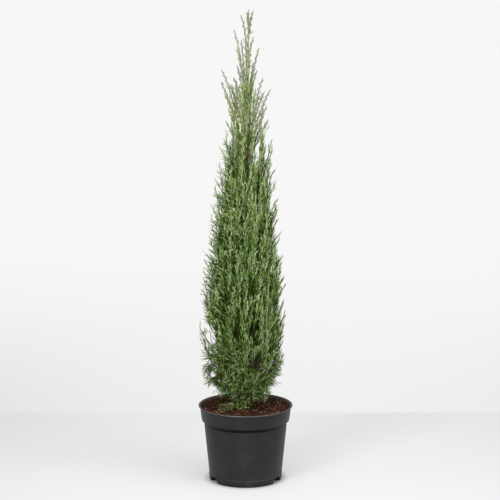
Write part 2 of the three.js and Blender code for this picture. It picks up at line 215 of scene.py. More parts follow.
# Finishes
@dataclass(frozen=True)
class PotPlastic:
    """Satin black recycled plastic with mould lines, dust and scuffs."""

    name: str = "pot_plastic"
    black: Colour = (0.0055, 0.0055, 0.0072)
    worn: Colour = (0.0150, 0.0149, 0.0160)
    dust: Colour = (0.085, 0.072, 0.062)
    gloss: float = 0.315
    roughness: float = 0.4
    dustiness: float = 0.35
    rim_band: Pair = (0.1485, 0.1528)
    foot_band: Pair = (0.004, 0.03)
    relief_depth: float = 0.00012

    def material(self) -> Material:
        """Builds the plastic.

        Returns:
            The material.
        """
        recipe = Recipe(bpy.data.materials.new(self.name))
        point = recipe.place()
        cloud = recipe.grain(point, 26.0, 4.0)
        speck = recipe.grain(point, 900.0, 2.0)
        drawn = recipe.grain(recipe.place((1.0, 1.0, 14.0)), 30.0, 3.0)
        height = recipe.node("ShaderNodeSeparateXYZ", None, {"Vector": point}, "Z")
        # Dust near the rim. It is stronger in the lip's copy, where it also stands for a painted highlight
        rim_dust_and_highlight = height.rise(*self.rim_band)
        foot = 1.0 - height.rise(*self.foot_band)
        dusty = (cloud.rise(0.5, 0.72) * (foot * 0.35 + rim_dust_and_highlight * 0.15)) + speck.rise(0.66, 0.72) * 0.25
        base = recipe.blend(cloud.rise(0.42, 0.75) * 0.6, self.black, self.worn)
        base = recipe.blend(dusty * self.dustiness, base, self.dust)
        rough = self.roughness + cloud * 0.12 + dusty * 0.2
        relief = drawn * 0.5 + speck * 0.5
        return recipe.surface(base, rough, self.gloss, Normal=recipe.bump(relief, self.relief_depth, 0.6))


@dataclass(frozen=True)
class Peat:
    """Damp red-brown peat."""

    name: str
    dark: Colour
    light: Colour
    roughness: float = 0.9
    gloss: float = 0.1
    relief_depth: float = 0.0012

    def material(self) -> Material:
        """Builds the peat.

        Returns:
            The material.
        """
        recipe = Recipe(bpy.data.materials.new(self.name))
        point = recipe.place()
        clod = recipe.grain(point, 160.0, 5.0, 0.65)
        fine = recipe.grain(point, 900.0, 3.0)
        base = recipe.blend((clod * 0.7 + fine * 0.3).rise(0.38, 0.68), self.dark, self.light)
        normal = recipe.bump(clod * 0.6 + fine * 0.4, self.relief_depth, 0.8)
        return recipe.surface(base, self.roughness, self.gloss, Normal=normal)


@dataclass(frozen=True)
class Bark:
    """Stringy bark with its grain up the limb."""

    name: str
    deep: Colour
    mid: Colour
    pale: Colour
    young: Colour = (0.30, 0.325, 0.145)
    young_from: float = 0.665
    young_at: float = 0.745
    roughness: float = 0.72
    gloss: float = 0.3
    relief_depth: float = 0.0006

    def material(self) -> Material:
        """Builds the bark, green where the stem is young.

        Returns:
            The material.
        """
        recipe = Recipe(bpy.data.materials.new(self.name))
        strip = recipe.grain(recipe.place((1.0, 1.0, 0.14)), 620.0, 5.0, 0.6)
        patch = recipe.grain(recipe.place(), 60.0, 3.0)
        stops = ((0.3, self.deep), (0.52, self.mid), (0.74, self.pale))
        base = recipe.ramp(strip * 0.75 + patch * 0.25, stops)
        height = recipe.node("ShaderNodeSeparateXYZ", None, {"Vector": recipe.place()}, "Z")
        base = recipe.blend(height.rise(self.young_from, self.young_at), base, self.young)
        normal = recipe.bump(strip, self.relief_depth, 0.8)
        return recipe.surface(base, self.roughness + patch * 0.2, self.gloss, Normal=normal)


@dataclass(frozen=True)
class LeafGreen:
    """One plain green of the scale leaves."""

    name: str
    colour: Colour
    gloss: float = 0.6
    roughness: float = 0.38

    def material(self) -> Material:
        """Builds the green."""
        recipe = Recipe(bpy.data.materials.new(self.name))
        return recipe.surface(self.colour, self.roughness, self.gloss)


@dataclass(frozen=True)
class StudioWhite:
    """The pale floor, whose glow is painted light that lightens its shadows, dimmed under the pot as a
    painted contact shadow.
    """

    name: str = "studio_white"
    colour: Colour = (0.300, 0.299, 0.297)
    # The floor's glow is painted light, not a lamp
    glow: float = 0.448
    # Where the glow fades in round the pot: a painted contact shadow
    painted_shadow_reach: float = 0.066
    painted_shadow_fade: float = 0.024
    roughness: float = 0.6
    gloss: float = 0.2

    def material(self) -> Material:
        """Builds the floor's paint.

        Returns:
            The material.
        """
        recipe = Recipe(bpy.data.materials.new(self.name))
        cloud = recipe.grain(recipe.place(), 6.0, 2.0)
        tint = tuple(0.985 * c for c in self.colour)
        x, y = (
            recipe.node("ShaderNodeSeparateXYZ", None, {"Vector": recipe.place()}, axis) for axis in "XY"
        )
        # Painted contact shadow: no glow under the pot
        outside_painted_shadow = ((x * x + y * y) ** 0.5).rise(self.painted_shadow_reach, self.painted_shadow_reach + self.painted_shadow_fade)
        # Painted falloff: the glow dims towards the back and the sides
        even = 1.0 - y.rise(-0.9, 0.5) * 0.12 - (x - 0.05) * (x - 0.05) * 0.4
        base = recipe.blend(cloud, tint, self.colour)
        light = recipe.blend(outside_painted_shadow * even, (0.0, 0.0, 0.0), (1.0, 0.998, 0.993))
        return recipe.surface(
            base, self.roughness, self.gloss, Emission_Color=light, Emission_Strength=self.glow
        )


class LeafTone(IntEnum):
    """The greens that are dealt out spray by spray, the fresh and pale ones part their own colour and part
    painted light, the deep and shade ones painted shade.
    """

    FRESH = 0
    MID = 1
    DEEP = 2
    BLUE = 3
    OLIVE = 4
    SHADE = 5
    PALE = 6
    TIP = 7


# The fresh and pale greens are lighter, part their own colour and part painted light; the deep and shade
# greens are darker and less glossy, painted shade
LEAF_GREENS = {
    LeafTone.FRESH: LeafGreen("leaf_fresh_and_lit", (0.606, 0.712, 0.332)),
    LeafTone.MID: LeafGreen("leaf_mid", (0.232, 0.372, 0.100)),
    LeafTone.DEEP: LeafGreen("leaf_deep_shade", (0.108, 0.222, 0.030), 0.2),
    LeafTone.BLUE: LeafGreen("leaf_blue", (0.246, 0.380, 0.184)),
    LeafTone.OLIVE: LeafGreen("leaf_olive", (0.352, 0.410, 0.094)),
    LeafTone.SHADE: LeafGreen("leaf_shade", (0.033, 0.078, 0.006), 0.1),
    LeafTone.PALE: LeafGreen("leaf_pale", (0.640, 0.680, 0.510)),
    LeafTone.TIP: LeafGreen("leaf_tip", (0.288, 0.308, 0.190)),
}

# The green of a shoot's core under leaves of each LeafTone in turn, mostly a step darker: painted shade
# between the leaves
CORE_TONES = (
    LeafTone.MID, LeafTone.DEEP, LeafTone.SHADE, LeafTone.DEEP,
    LeafTone.DEEP, LeafTone.SHADE, LeafTone.MID, LeafTone.TIP,
)


# Helpers for meshes
def unit(vectors: Array) -> Array:
    """Vectors at length 1."""
    return vectors / np.maximum(np.linalg.norm(vectors, axis=-1, keepdims=True), 1e-9)


def mix(first: Any, second: Any, share: Any) -> Any:
    """The value a share of the way from the first to the second."""
    return first + (second - first) * share


def between(values: Any, start: float, end: float) -> Any:
    """How far values lie from a start to an end, held to 0 to 1."""
    return np.clip((values - start) / (end - start), 0, 1)


def arch(stops: Sequence[Array], steps: int) -> Array:
    """Rows of points on curves from the first stops to the last, drawn towards those between."""
    s, last = np.linspace(0, 1, steps)[None, :, None], len(stops) - 1
    return sum(math.comb(last, k) * s**k * (1 - s) ** (last - k) * p[:, None] for k, p in enumerate(stops))


def ride(piece: Piece, nodes: Iterable[str] = ()) -> Piece:
    """Hands a finished piece to the frame and logs it.

    Args:
        piece: The object.
        nodes: The solids that it stands for.

    Returns:
        The same object.
    """
    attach(piece, BODY)
    nodes = list(nodes)
    if nodes:
        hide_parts(*nodes)
    log.info("%s: %d faces, for %d nodes", piece.name, len(piece.data.polygons), len(nodes))
    return piece


def link(name: str, mesh: bpy.types.Mesh, materials: Iterable[Material]) -> Piece:
    """Puts a mesh in the scene as an object at the origin.

    Args:
        name: The piece's name.
        mesh: Its mesh.
        materials: Its materials, in order.

    Returns:
        The object.
    """
    for material in materials:
        mesh.materials.append(material)
    piece = bpy.data.objects.new(name, mesh)
    bpy.context.scene.collection.objects.link(piece)
    return piece


def from_bmesh(name: str, shape: Shape, materials: Iterable[Material], smooth: bool = True) -> Piece:
    """Turns a bmesh in millimetres into an object in metres.

    Args:
        name: The piece's name.
        shape: The bmesh, freed afterwards.
        materials: Its materials.
        smooth: Whether its faces are shaded smooth.

    Returns:
        The object.
    """
    bmesh.ops.scale(shape, vec=(MM, MM, MM), verts=shape.verts)
    for face in shape.faces:
        face.smooth = smooth
    mesh = bpy.data.meshes.new(name)
    shape.to_mesh(mesh)
    shape.free()
    return link(name, mesh, materials)


def spun(section: Iterable[Pair], sides: int) -> Shape:
    """Spins a section round the upright axis into a closed shape.

    Args:
        section: Its corners as radius and height.
        sides: The number of sides.

    Returns:
        The bmesh, its doubles merged and its faces outwards.
    """
    shape = bmesh.new()
    corners = [shape.verts.new((radius, 0.0, height)) for radius, height in section]
    edges = [shape.edges.new(pair) for pair in zip(corners, corners[1:])]
    bmesh.ops.spin(
        shape, geom=corners + edges, cent=(0, 0, 0), axis=(0, 0, 1), angle=2 * math.pi,
        steps=sides, use_merge=True,
    )
    bmesh.ops.remove_doubles(shape, verts=shape.verts, dist=0.01)
    bmesh.ops.recalc_face_normals(shape, faces=shape.faces)
    return shape


@dataclass
class Heap:
    """Many small things in batches of points, triangles and the triangles' material numbers."""

    batches: list[tuple[Array, Array, Array]] = field(default_factory=list)

    def add(self, points: Array, faces: Array, tones: Array) -> None:
        """Adds a batch, its triangles as rows of corner numbers within its points."""
        self.batches.append((points, faces, tones))

    def take(self, other: "Heap") -> None:
        """Takes over all that another heap holds."""
        self.batches += other.batches

    def triangles(self) -> int:
        """The number of triangles so far."""
        return sum(len(faces) for _, faces, _ in self.batches)

    def piece(self, name: str, materials: Iterable[Material], smooth: bool = False) -> Piece:
        """Joins the heap into one object.

        Args:
            name: The piece's name.
            materials: Its materials, by tone.
            smooth: Whether its faces are shaded smooth.

        Returns:
            The object.
        """
        parts, rows, tones = zip(*self.batches)
        first = np.cumsum([0, *map(len, parts)])
        points = np.concatenate(parts) * MM
        faces = np.concatenate([corners + start for corners, start in zip(rows, first)])
        mesh = bpy.data.meshes.new(name)
        mesh.vertices.add(len(points))
        mesh.vertices.foreach_set("co", points.astype(np.float32).ravel())
        mesh.loops.add(3 * len(faces))
        mesh.loops.foreach_set("vertex_index", faces.astype(np.int32).ravel())
        mesh.polygons.add(len(faces))
        mesh.polygons.foreach_set("loop_start", np.arange(0, 3 * len(faces), 3, dtype=np.int32))
        mesh.polygons.foreach_set("material_index", np.concatenate(tones).astype(np.int32))
        mesh.polygons.foreach_set("use_smooth", np.full(len(faces), smooth))
        mesh.update(calc_edges=True)
        return link(name, mesh, materials)


@dataclass
class Strands:
    """Many fine stems at once, each a row of points from its root to its tip."""

    points: Array
    across: Array
    tone: Array
    mass: Array

    def __len__(self) -> int:
        """The number of stems."""
        return len(self.points)

    def lengths(self) -> Array:
        """The length of each stem."""
        return np.linalg.norm(np.diff(self.points, axis=1), axis=2).sum(axis=1)

    def at(self, index: Array, share: Array) -> tuple[Array, Array]:
        """Places along stems.

        Args:
            index: Which stems.
            share: How far along each, 0 to 1.

        Returns:
            The points and the headings there.
        """
        steps = self.points.shape[1] - 1
        along = np.clip(share, 0, 1) * steps
        step = np.minimum(along.astype(int), steps - 1)
        first, second = self.points[index, step], self.points[index, step + 1]
        return mix(first, second, (along - step)[:, None]), unit(second - first)

    def sides(self, index: Array, heading: Array) -> tuple[Array, Array]:
        """The direction nearest to across that is square to each heading, and the one square to both."""
        side = unit(self.across[index] - (self.across[index] * heading).sum(axis=1, keepdims=True) * heading)
        return side, np.cross(side, heading)

    def pick(self, keep: Array) -> "Strands":
        """The stems that a mask or a list of numbers picks."""
        return Strands(self.points[keep], self.across[keep], self.tone[keep], self.mass[keep])

    def sprout(
        self, index: Array, share: Array, angle: Array, turn: Array, length: Array,
        curl: float | Array, lift: float | Array, steps: int,
    ) -> "Strands":
        """Side stems that leave these ones and bend back along them.

        Args:
            index: The parent of each side stem.
            share: Where it leaves its parent.
            angle: How far it leans out, in radians.
            turn: Its turn round the parent, in radians.
            length: Its length.
            curl: How far its end bends back to the parent's heading.
            lift: How much it turns up.
            steps: Its number of points.

        Returns:
            The side stems.
        """
        place, heading = self.at(index, share)
        side, outward = self.sides(index, heading)
        out = np.cos(turn)[:, None] * side + np.sin(turn)[:, None] * outward
        rise = np.broadcast_to(lift, len(index))[:, None] * UP
        start = unit(np.cos(angle)[:, None] * heading + np.sin(angle)[:, None] * out + rise)
        end = unit(mix(start, heading, np.broadcast_to(curl, len(index))[:, None]) + rise)
        half = 0.5 * length[:, None]
        elbow = place + start * half
        points = arch((place, elbow, elbow + end * half), steps)
        return Strands(points, np.cross(out, start), self.tone[index], self.mass[index])


def join(groups: Sequence[Strands]) -> Strands:
    """Stems of the same number of points as one set."""
    parts = ("points", "across", "tone", "mass")
    return Strands(*(np.concatenate([getattr(g, part) for g in groups]) for part in parts))


def spread(counts: Array) -> tuple[Array, Array]:
    """The group of each member of many groups, and its number within the group."""
    group = np.repeat(np.arange(len(counts)), counts)
    return group, np.arange(len(group)) - (np.cumsum(counts) - counts)[group]


def tubes(strands: Strands, radius: Array, sides: int) -> tuple[Array, Array]:
    """Thin tapering tubes along stems, closed to a point at the tip.

    Args:
        strands: The stems.
        radius: The radius at each of their points.
        sides: The number of sides.

    Returns:
        Corner points and triangles.
    """
    count, rings = strands.points.shape[:2]
    index = np.arange(count)
    corners = np.zeros((count, rings - 1, sides, 3))
    turn = (2 * np.pi * np.arange(sides) / sides)[None, :, None]
    for ring in range(rings - 1):
        place, heading = strands.at(index, np.full(count, ring / (rings - 1)))
        side, outward = strands.sides(index, heading)
        reach = radius[:, ring, None, None]
        spoke = np.cos(turn) * side[:, None] + np.sin(turn) * outward[:, None]
        corners[:, ring] = place[:, None] + reach * spoke
    each = (rings - 1) * sides + 1
    points = np.concatenate([corners.reshape(count, -1, 3), strands.points[:, -1:]], axis=1)
    faces = []
    for ring in range(rings - 2):
        for k in range(sides):
            a, b = ring * sides + k, ring * sides + (k + 1) % sides
            faces += [(a, b + sides, b), (a, a + sides, b + sides)]
    last = (rings - 2) * sides
    faces += [(last + k, each - 1, last + (k + 1) % sides) for k in range(sides)]
    one = np.array(faces)
    return points.reshape(-1, 3), (one[None] + (each * index)[:, None, None]).reshape(-1, 3)


class Seeded:
    """Even numbers from 0 to 1 out of one seed, as in the part's source."""

    def __init__(self, seed: int) -> None:
        """Starts from a seed."""
        self.state = (seed * 2654435761) % 2**32

    def __call__(self) -> float:
        """The next number."""
        self.state = (self.state * 1664525 + 1013904223) % 2**32
        return self.state / 2**32


# Growth rule
@dataclass(frozen=True)
class Space:
    """One mass's own space on the spiral."""

    index: int
    low: float
    middle: float
    bearing: float
    half_angle: float


@dataclass(frozen=True)
class Spot:
    """A place in the crown: layer, reach and bearing, with the length of a straight tip."""

    layer: float
    reach: float
    bearing: float
    tip: float = 0.0


@dataclass(frozen=True)
class Growth:
    """The rule that the trunk, the boughs and the masses grow by."""

    soil_top: float = 147.0
    trunk_top: float = 800.0
    foot_x: float = -7.0
    tip_x: float = 4.0
    bow: float = -1.0
    trunk_foot_radius: float = 6.4
    trunk_tip_radius: float = 1.7
    trunk_taper: float = 0.85
    flare: float = 2.6
    flare_height: float = 16.0
    crown_foot: float = 150.0
    crown_top: float = 945.0
    crown_radius: float = 84.0
    outline: tuple[Pair, ...] = (
        (0.0, 0.42), (0.03, 0.6), (0.06, 0.84), (0.12, 0.93), (0.2, 1.0), (0.29, 0.98), (0.42, 0.84),
        (0.58, 0.66), (0.69, 0.55), (0.8, 0.49), (0.86, 0.28), (0.94, 0.19), (1.0, 0.05),
    )
    turns: int = 9
    spiral_start: float = -0.55
    spiral_bearing: float = 4.25
    masses_low: float = 5.3
    masses_high: float = 2.8
    outer_heights: Pair = (158.0, 862.0)
    outer_ease: float = 1.2
    root_heights: Pair = (164.0, 782.0)
    root_ease: float = 1.95
    climb_start: float = 0.45
    boughs_up_to: float = 0.42
    bough_reach: float = 0.36
    plume_seed: int = 721
    plumes: int = 3
    plume_spread: float = 0.68
    plume_scatter: float = 0.16
    inner_plumes_up_to: float = 0.36
    inner_plume_layer: float = 0.8
    inner_plume_reach: float = 0.62
    tip_length: float = 18.0
    curve_samples: int = 40
    tip_samples: int = 8

    def trunk_share(self, height: Any) -> Any:
        """How far up the trunk a height is."""
        return (height - self.soil_top) / (self.trunk_top - self.soil_top)

    def trunk_axis(self, height: Any) -> Any:
        """The trunk's middle at a height, along X."""
        share = self.trunk_share(height)
        return mix(self.foot_x, self.tip_x, share) + np.where(share < 1, self.bow * np.sin(np.pi * share), 0)

    def trunk_points(self, heights: Array) -> Array:
        """Points on the trunk's middle line."""
        return np.stack([self.trunk_axis(heights), 0 * heights, heights], axis=1)

    def from_trunk(self, points: Array) -> Array:
        """How far points in any arrangement are from the trunk's middle line."""
        return np.hypot(points[..., 0] - self.trunk_axis(points[..., 2]), points[..., 1])

    def trunk_radius(self, height: Any) -> Any:
        """The trunk's radius at a height.

        Args:
            height: The height, as a number or an array.

        Returns:
            The radius, the root flare included.
        """
        flare = self.flare * np.exp(-(height - self.soil_top) / self.flare_height)
        share = np.clip(self.trunk_share(height), 0, 1)
        return mix(self.trunk_foot_radius, self.trunk_tip_radius, share**self.trunk_taper) + flare

    def radius(self, height: Any) -> Any:
        """The crown's radius at a height."""
        share = (height - self.crown_foot) / (self.crown_top - self.crown_foot)
        return self.crown_radius * np.interp(share, *zip(*self.outline))

    def outer_height(self, layer: Any) -> Any:
        """Where a layer meets the outline."""
        return mix(*self.outer_heights, layer**self.outer_ease)

    def root_height(self, layer: Any) -> Any:
        """Where a layer meets the trunk."""
        return mix(*self.root_heights, layer**self.root_ease)

    def point(self, layer: Any, reach: Any, bearing: Any) -> Array:
        """A place in the crown as a point.

        Args:
            layer: Its layer, 0 to 1 up the crown.
            reach: Its share of the way to the outline.
            bearing: Its bearing in radians.

        Returns:
            Points in millimetres.
        """
        radius = reach * self.radius(self.outer_height(layer))
        climb = np.where(reach < 1, self.climb_start * reach + (1 - self.climb_start) * reach**2, 1.0)
        height = mix(self.root_height(layer), self.outer_height(layer), climb)
        x = self.trunk_axis(height) + radius * np.cos(bearing)
        return np.stack([x, radius * np.sin(bearing), height], axis=-1)

    def spaces(self) -> list[Space]:
        """Shares out the spiral into masses.

        Returns:
            Their spaces, from the lowest up.
        """
        found = []
        turn = self.spiral_start
        while turn < self.turns - 1:
            share = max(0.0, turn) / (self.turns - 1)
            count = math.floor(mix(self.masses_low, self.masses_high, share) + 0.5)
            middle = turn + 0.5 / count
            low = middle / self.turns
            layer = (max(low, 0.0) + min(low + 1 / self.turns, 1.0)) / 2
            bearing = self.spiral_bearing + 2 * math.pi * middle
            found.append(Space(len(found), low, layer, bearing, math.pi / count))
            turn += 1 / count
        return found

    def has_bough(self, space: Space) -> bool:
        """Whether a mass stands on a bough."""
        return space.middle < self.boughs_up_to

    def layers(self, space: Space, offset: float) -> Pair:
        """The lowest and highest layer of a space at an offset from its bearing."""
        low = space.low + offset / (2 * math.pi * self.turns)
        return max(low, 0.0), min(low + 1 / self.turns, 1.0)

    def plume_ends(self, space: Space) -> list[Spot]:
        """Where the plumes of a mass end, as in the part's source.

        Args:
            space: The mass's space.

        Returns:
            Their ends, an inner plume's last.
        """
        random = Seeded(self.plume_seed + space.index)
        ends = []
        for k in range(self.plumes):
            side = 2 * k / (self.plumes - 1) - 1
            offset = space.half_angle * (self.plume_spread * side + self.plume_scatter * (random() - 0.5))
            layer = mix(*self.layers(space, offset), 0.3 + 0.36 * random())
            reach = 0.9 + 0.1 * random()
            ends.append(Spot(layer, reach, space.bearing + offset, self.tip_length * (0.5 + random())))
        if space.middle < self.inner_plumes_up_to:
            layer = mix(*self.layers(space, 0.0), self.inner_plume_layer)
            ends.append(Spot(layer, self.inner_plume_reach, space.bearing, self.tip_length))
        return ends

    def stem_start(self, space: Space) -> Spot:
        """Where a mass's stem leaves its bough or the trunk."""
        reach = self.bough_reach if self.has_bough(space) else 0.0
        return Spot(space.middle, reach, space.bearing)

    def curve(self, start: Spot, end: Spot, steps: int) -> Array:
        """A curve through the crown, with its straight tip.

        Args:
            start: Where it begins.
            end: Where it ends, before its tip.
            steps: Its number of points.

        Returns:
            Evenly spaced points.
        """
        s = np.linspace(0, 1, self.curve_samples)
        layer, reach = mix(start.layer, end.layer, s), mix(start.reach, end.reach, s)
        points = self.point(layer, reach, mix(start.bearing, end.bearing, s))
        if end.tip > 0:
            heading = unit(points[-1] - points[-self.tip_samples])
            points = np.vstack([points, points[-1] + heading * end.tip])
        run = np.concatenate([[0], np.cumsum(np.linalg.norm(np.diff(points, axis=0), axis=1))])
        even = np.linspace(0, run[-1], steps)
        return np.stack([np.interp(even, run, points[:, k]) for k in range(3)], axis=1)


# Pot
class PotFace(IntEnum):
    """The sides of the pot with a material each, in order: the inside with painted light, the lip with dust
    and a painted highlight, the collar's underside with painted shade.
    """

    OUTSIDE = 0
    INSIDE = 1
    LIP = 2
    UNDERSIDE = 3


@dataclass
class Pot:
    """The tapered nursery pot: collar, lip, foot ledge and drain notches."""

    rim_radius: float = 95.0
    height: float = 153.0
    lip_width: float = 3.0
    lip_height: float = 3.4
    lip_slant: float = 0.9
    lip_round: float = 1.2
    collar_height: float = 30.5
    collar_taper: float = 3.4
    collar_step: float = 5.4
    step_height: float = 6.0
    undercut: float = 1.3
    collar_round: float = 1.4
    undercut_round: float = 2.2
    wall_foot_radius: float = 74.0
    foot_radius: float = 72.8
    foot_height: float = 13.0
    foot_width: float = 3.4
    ledge: float = 0.4
    ledge_round: float = 0.3
    foot_round: float = 0.8
    wall: float = 1.8
    floor_lift: float = 5.0
    sides: int = 144
    notches: int = 3
    notch_width: float = 28.0
    notch_height: float = 11.0
    notch_depth: float = 24.0
    finish: PotPlastic = PotPlastic()
    # The inside: the same plastic made much lighter, painted light on the inner wall
    inside: PotPlastic = PotPlastic(
        "pot_inside_painted_light", (0.052, 0.051, 0.047), (0.085, 0.080, 0.074), (0.14, 0.12, 0.10), 0.3, 0.6
    )
    # The lip's top: lighter, dustier and glossier plastic, real dust and a painted highlight together
    lip: PotPlastic = PotPlastic(
        "pot_lip_dust_and_highlight", (0.036, 0.032, 0.030), (0.095, 0.080, 0.073), (0.24, 0.195, 0.17), 0.45, 0.36, 0.7
    )
    # The collar's underside: the same plastic, darker and less glossy, as painted shade under the step
    underside: PotPlastic = PotPlastic(
        "pot_underside_painted_shade", (0.003, 0.003, 0.0035), (0.005, 0.005, 0.0055), (0.008, 0.007, 0.007), 0.1, 0.5
    )

    def outer(self) -> list[Pair]:
        """The outside of the wall from the foot to the rim.

        Returns:
            Its corners as radius and height.
        """
        collar_top = self.rim_radius - self.lip_width
        collar_foot = collar_top - self.collar_taper
        wall_top = collar_foot - self.collar_step
        collar_base = self.height - self.collar_height
        return [
            (self.foot_radius, 0.0),
            (self.wall_foot_radius + self.ledge, self.foot_height - self.ledge),
            (self.wall_foot_radius - self.ledge, self.foot_height + self.ledge),
            (wall_top, collar_base - 2 * self.step_height),
            (wall_top - self.undercut, collar_base - self.step_height),
            (collar_foot, collar_base),
            (collar_top, self.height - self.lip_height),
            (self.rim_radius, self.height - self.lip_height + self.lip_slant),
            (self.rim_radius, self.height),
        ]

    def inner(self) -> list[Pair]:
        """The inside of the wall from the floor to the lip.

        Returns:
            Its corners as radius and height.
        """
        _, _, foot, _, wall_top, collar_foot, collar_top, _, _ = self.outer()
        return [
            (foot[0] - self.wall, self.floor_lift + self.wall),
            (wall_top[0] - self.wall, wall_top[1] + self.wall / 2),
            (collar_foot[0] - self.wall, collar_foot[1] + self.wall / 2),
            (collar_top[0] - self.wall, collar_top[1]),
        ]

    def profile(self) -> list[Pair]:
        """The whole section of the wall and floor, from axis to axis.

        Returns:
            Its corners as radius and height.
        """
        inside_foot = self.foot_radius - self.foot_width
        return [
            (0.0, self.floor_lift), (inside_foot - 2, self.floor_lift), (inside_foot, 0.0),
            *self.outer(),
            (self.rim_radius - self.lip_width, self.height),
            *reversed(self.inner()),
            (0.0, self.floor_lift + self.wall),
        ]

    def shell(self) -> Shape:
        """Spins the section and rounds its edges.

        Returns:
            The pot's bmesh, without its notches.
        """
        shape = spun(self.profile(), self.sides)
        foot, ledge_low, ledge_high, _, undercut, collar, _, lip_low, lip_high = self.outer()
        rounds = {
            lip_high: self.lip_round, lip_low: self.lip_round,
            (self.rim_radius - self.lip_width, self.height): self.lip_round,
            collar: self.collar_round, undercut: self.undercut_round,
            ledge_low: self.ledge_round, ledge_high: self.ledge_round, foot: self.foot_round,
        }
        for (radius, height), offset in rounds.items():
            self.round_ring(shape, radius, height, offset)
        self.assign(shape)
        return shape

    def assign(self, shape: Shape) -> None:
        """Gives the inside its painted light, the lip its dust and painted highlight and the underside of the
        collar its painted shade, each as its own material.

        Args:
            shape: The pot's bmesh.
        """
        collar_base, step = self.height - self.collar_height, self.step_height
        shape.normal_update()
        for face in shape.faces:
            middle = face.calc_center_median()
            outward = face.normal.xy.dot(middle.xy.normalized()) if middle.xy.length > 1 else 0.0
            by_step = abs(middle.z - collar_base + step / 2) < 0.75 * step
            # Upward faces of the lip take the lighter plastic: dust and a painted highlight
            if middle.z > self.height - self.lip_height and face.normal.z > 0.2:
                face.material_index = PotFace.LIP
            # Inward faces above the collar's base take the lighter plastic as painted light
            elif outward < -0.3 and middle.z > collar_base:
                face.material_index = PotFace.INSIDE
            # Downward faces at the collar's step take the darker plastic as painted shade
            elif outward > 0 and face.normal.z < -0.3 and by_step:
                face.material_index = PotFace.UNDERSIDE

    def round_ring(self, shape: Shape, radius: float, height: float, offset: float) -> None:
        """Bevels one ring of edges.

        Args:
            shape: The pot's bmesh.
            radius: The ring's radius.
            height: The ring's height.
            offset: The width of the rounding.
        """
        def on_ring(corner: bmesh.types.BMVert) -> bool:
            """Whether a corner lies on the ring."""
            return abs(corner.co.xy.length - radius) < 0.02 and abs(corner.co.z - height) < 0.02

        ring = [e for e in shape.edges if on_ring(e.verts[0]) and on_ring(e.verts[1])]
        bmesh.ops.bevel(
            shape, geom=ring, offset=offset, offset_type="OFFSET", segments=3, profile=0.5,
            affect="EDGES", material=-1, clamp_overlap=True,
        )

    def notch_cutter(self) -> Piece:
        """The arched blocks that cut the drain notches.

        Returns:
            The blocks as one object.
        """
        shape = bmesh.new()
        half, top = self.notch_width / 2, self.notch_height
        shoulder = top * 0.7
        section = [
            (-half, -1.0), (half, -1.0), (half - 2, shoulder),
            (half - 7, top), (7 - half, top), (2 - half, shoulder),
        ]
        for k in range(self.notches):
            turn = Matrix.Rotation(2 * math.pi * k / self.notches, 4, "Z")
            start = self.foot_radius - self.notch_depth / 2
            face = shape.faces.new([shape.verts.new(turn @ Vector((x, start, z))) for x, z in section])
            pushed = bmesh.ops.extrude_face_region(shape, geom=[face])
            corners = [g for g in pushed["geom"] if isinstance(g, bmesh.types.BMVert)]
            bmesh.ops.translate(shape, verts=corners, vec=turn @ Vector((0, self.notch_depth, 0)))
        bmesh.ops.recalc_face_normals(shape, faces=shape.faces)
        return from_bmesh("notch_cutter", shape, [], smooth=False)

    def build(self) -> Piece:
        """Builds the pot and cuts its notches.

        Returns:
            The finished piece.
        """
        # The plain plastic, then the inside with painted light, the lip with dust and a painted highlight and
        # the collar's underside with painted shade
        finishes = [self.finish, self.inside, self.lip, self.underside]
        pot = from_bmesh("pot_shell", self.shell(), [f.material() for f in finishes])
        cutter = self.notch_cutter()
        cut = pot.modifiers.new("notches", "BOOLEAN")
        cut.operation, cut.solver, cut.object = "DIFFERENCE", "EXACT", cutter
        bpy.context.view_layer.update()
        done = pot.evaluated_get(bpy.context.evaluated_depsgraph_get())
        whole = bpy.data.meshes.new_from_object(done)
        pot.modifiers.clear()
        pot.data = whole
        bpy.data.objects.remove(cutter)
        whole.set_sharp_from_angle(angle=math.radians(38))
        return ride(pot, ["pot"])


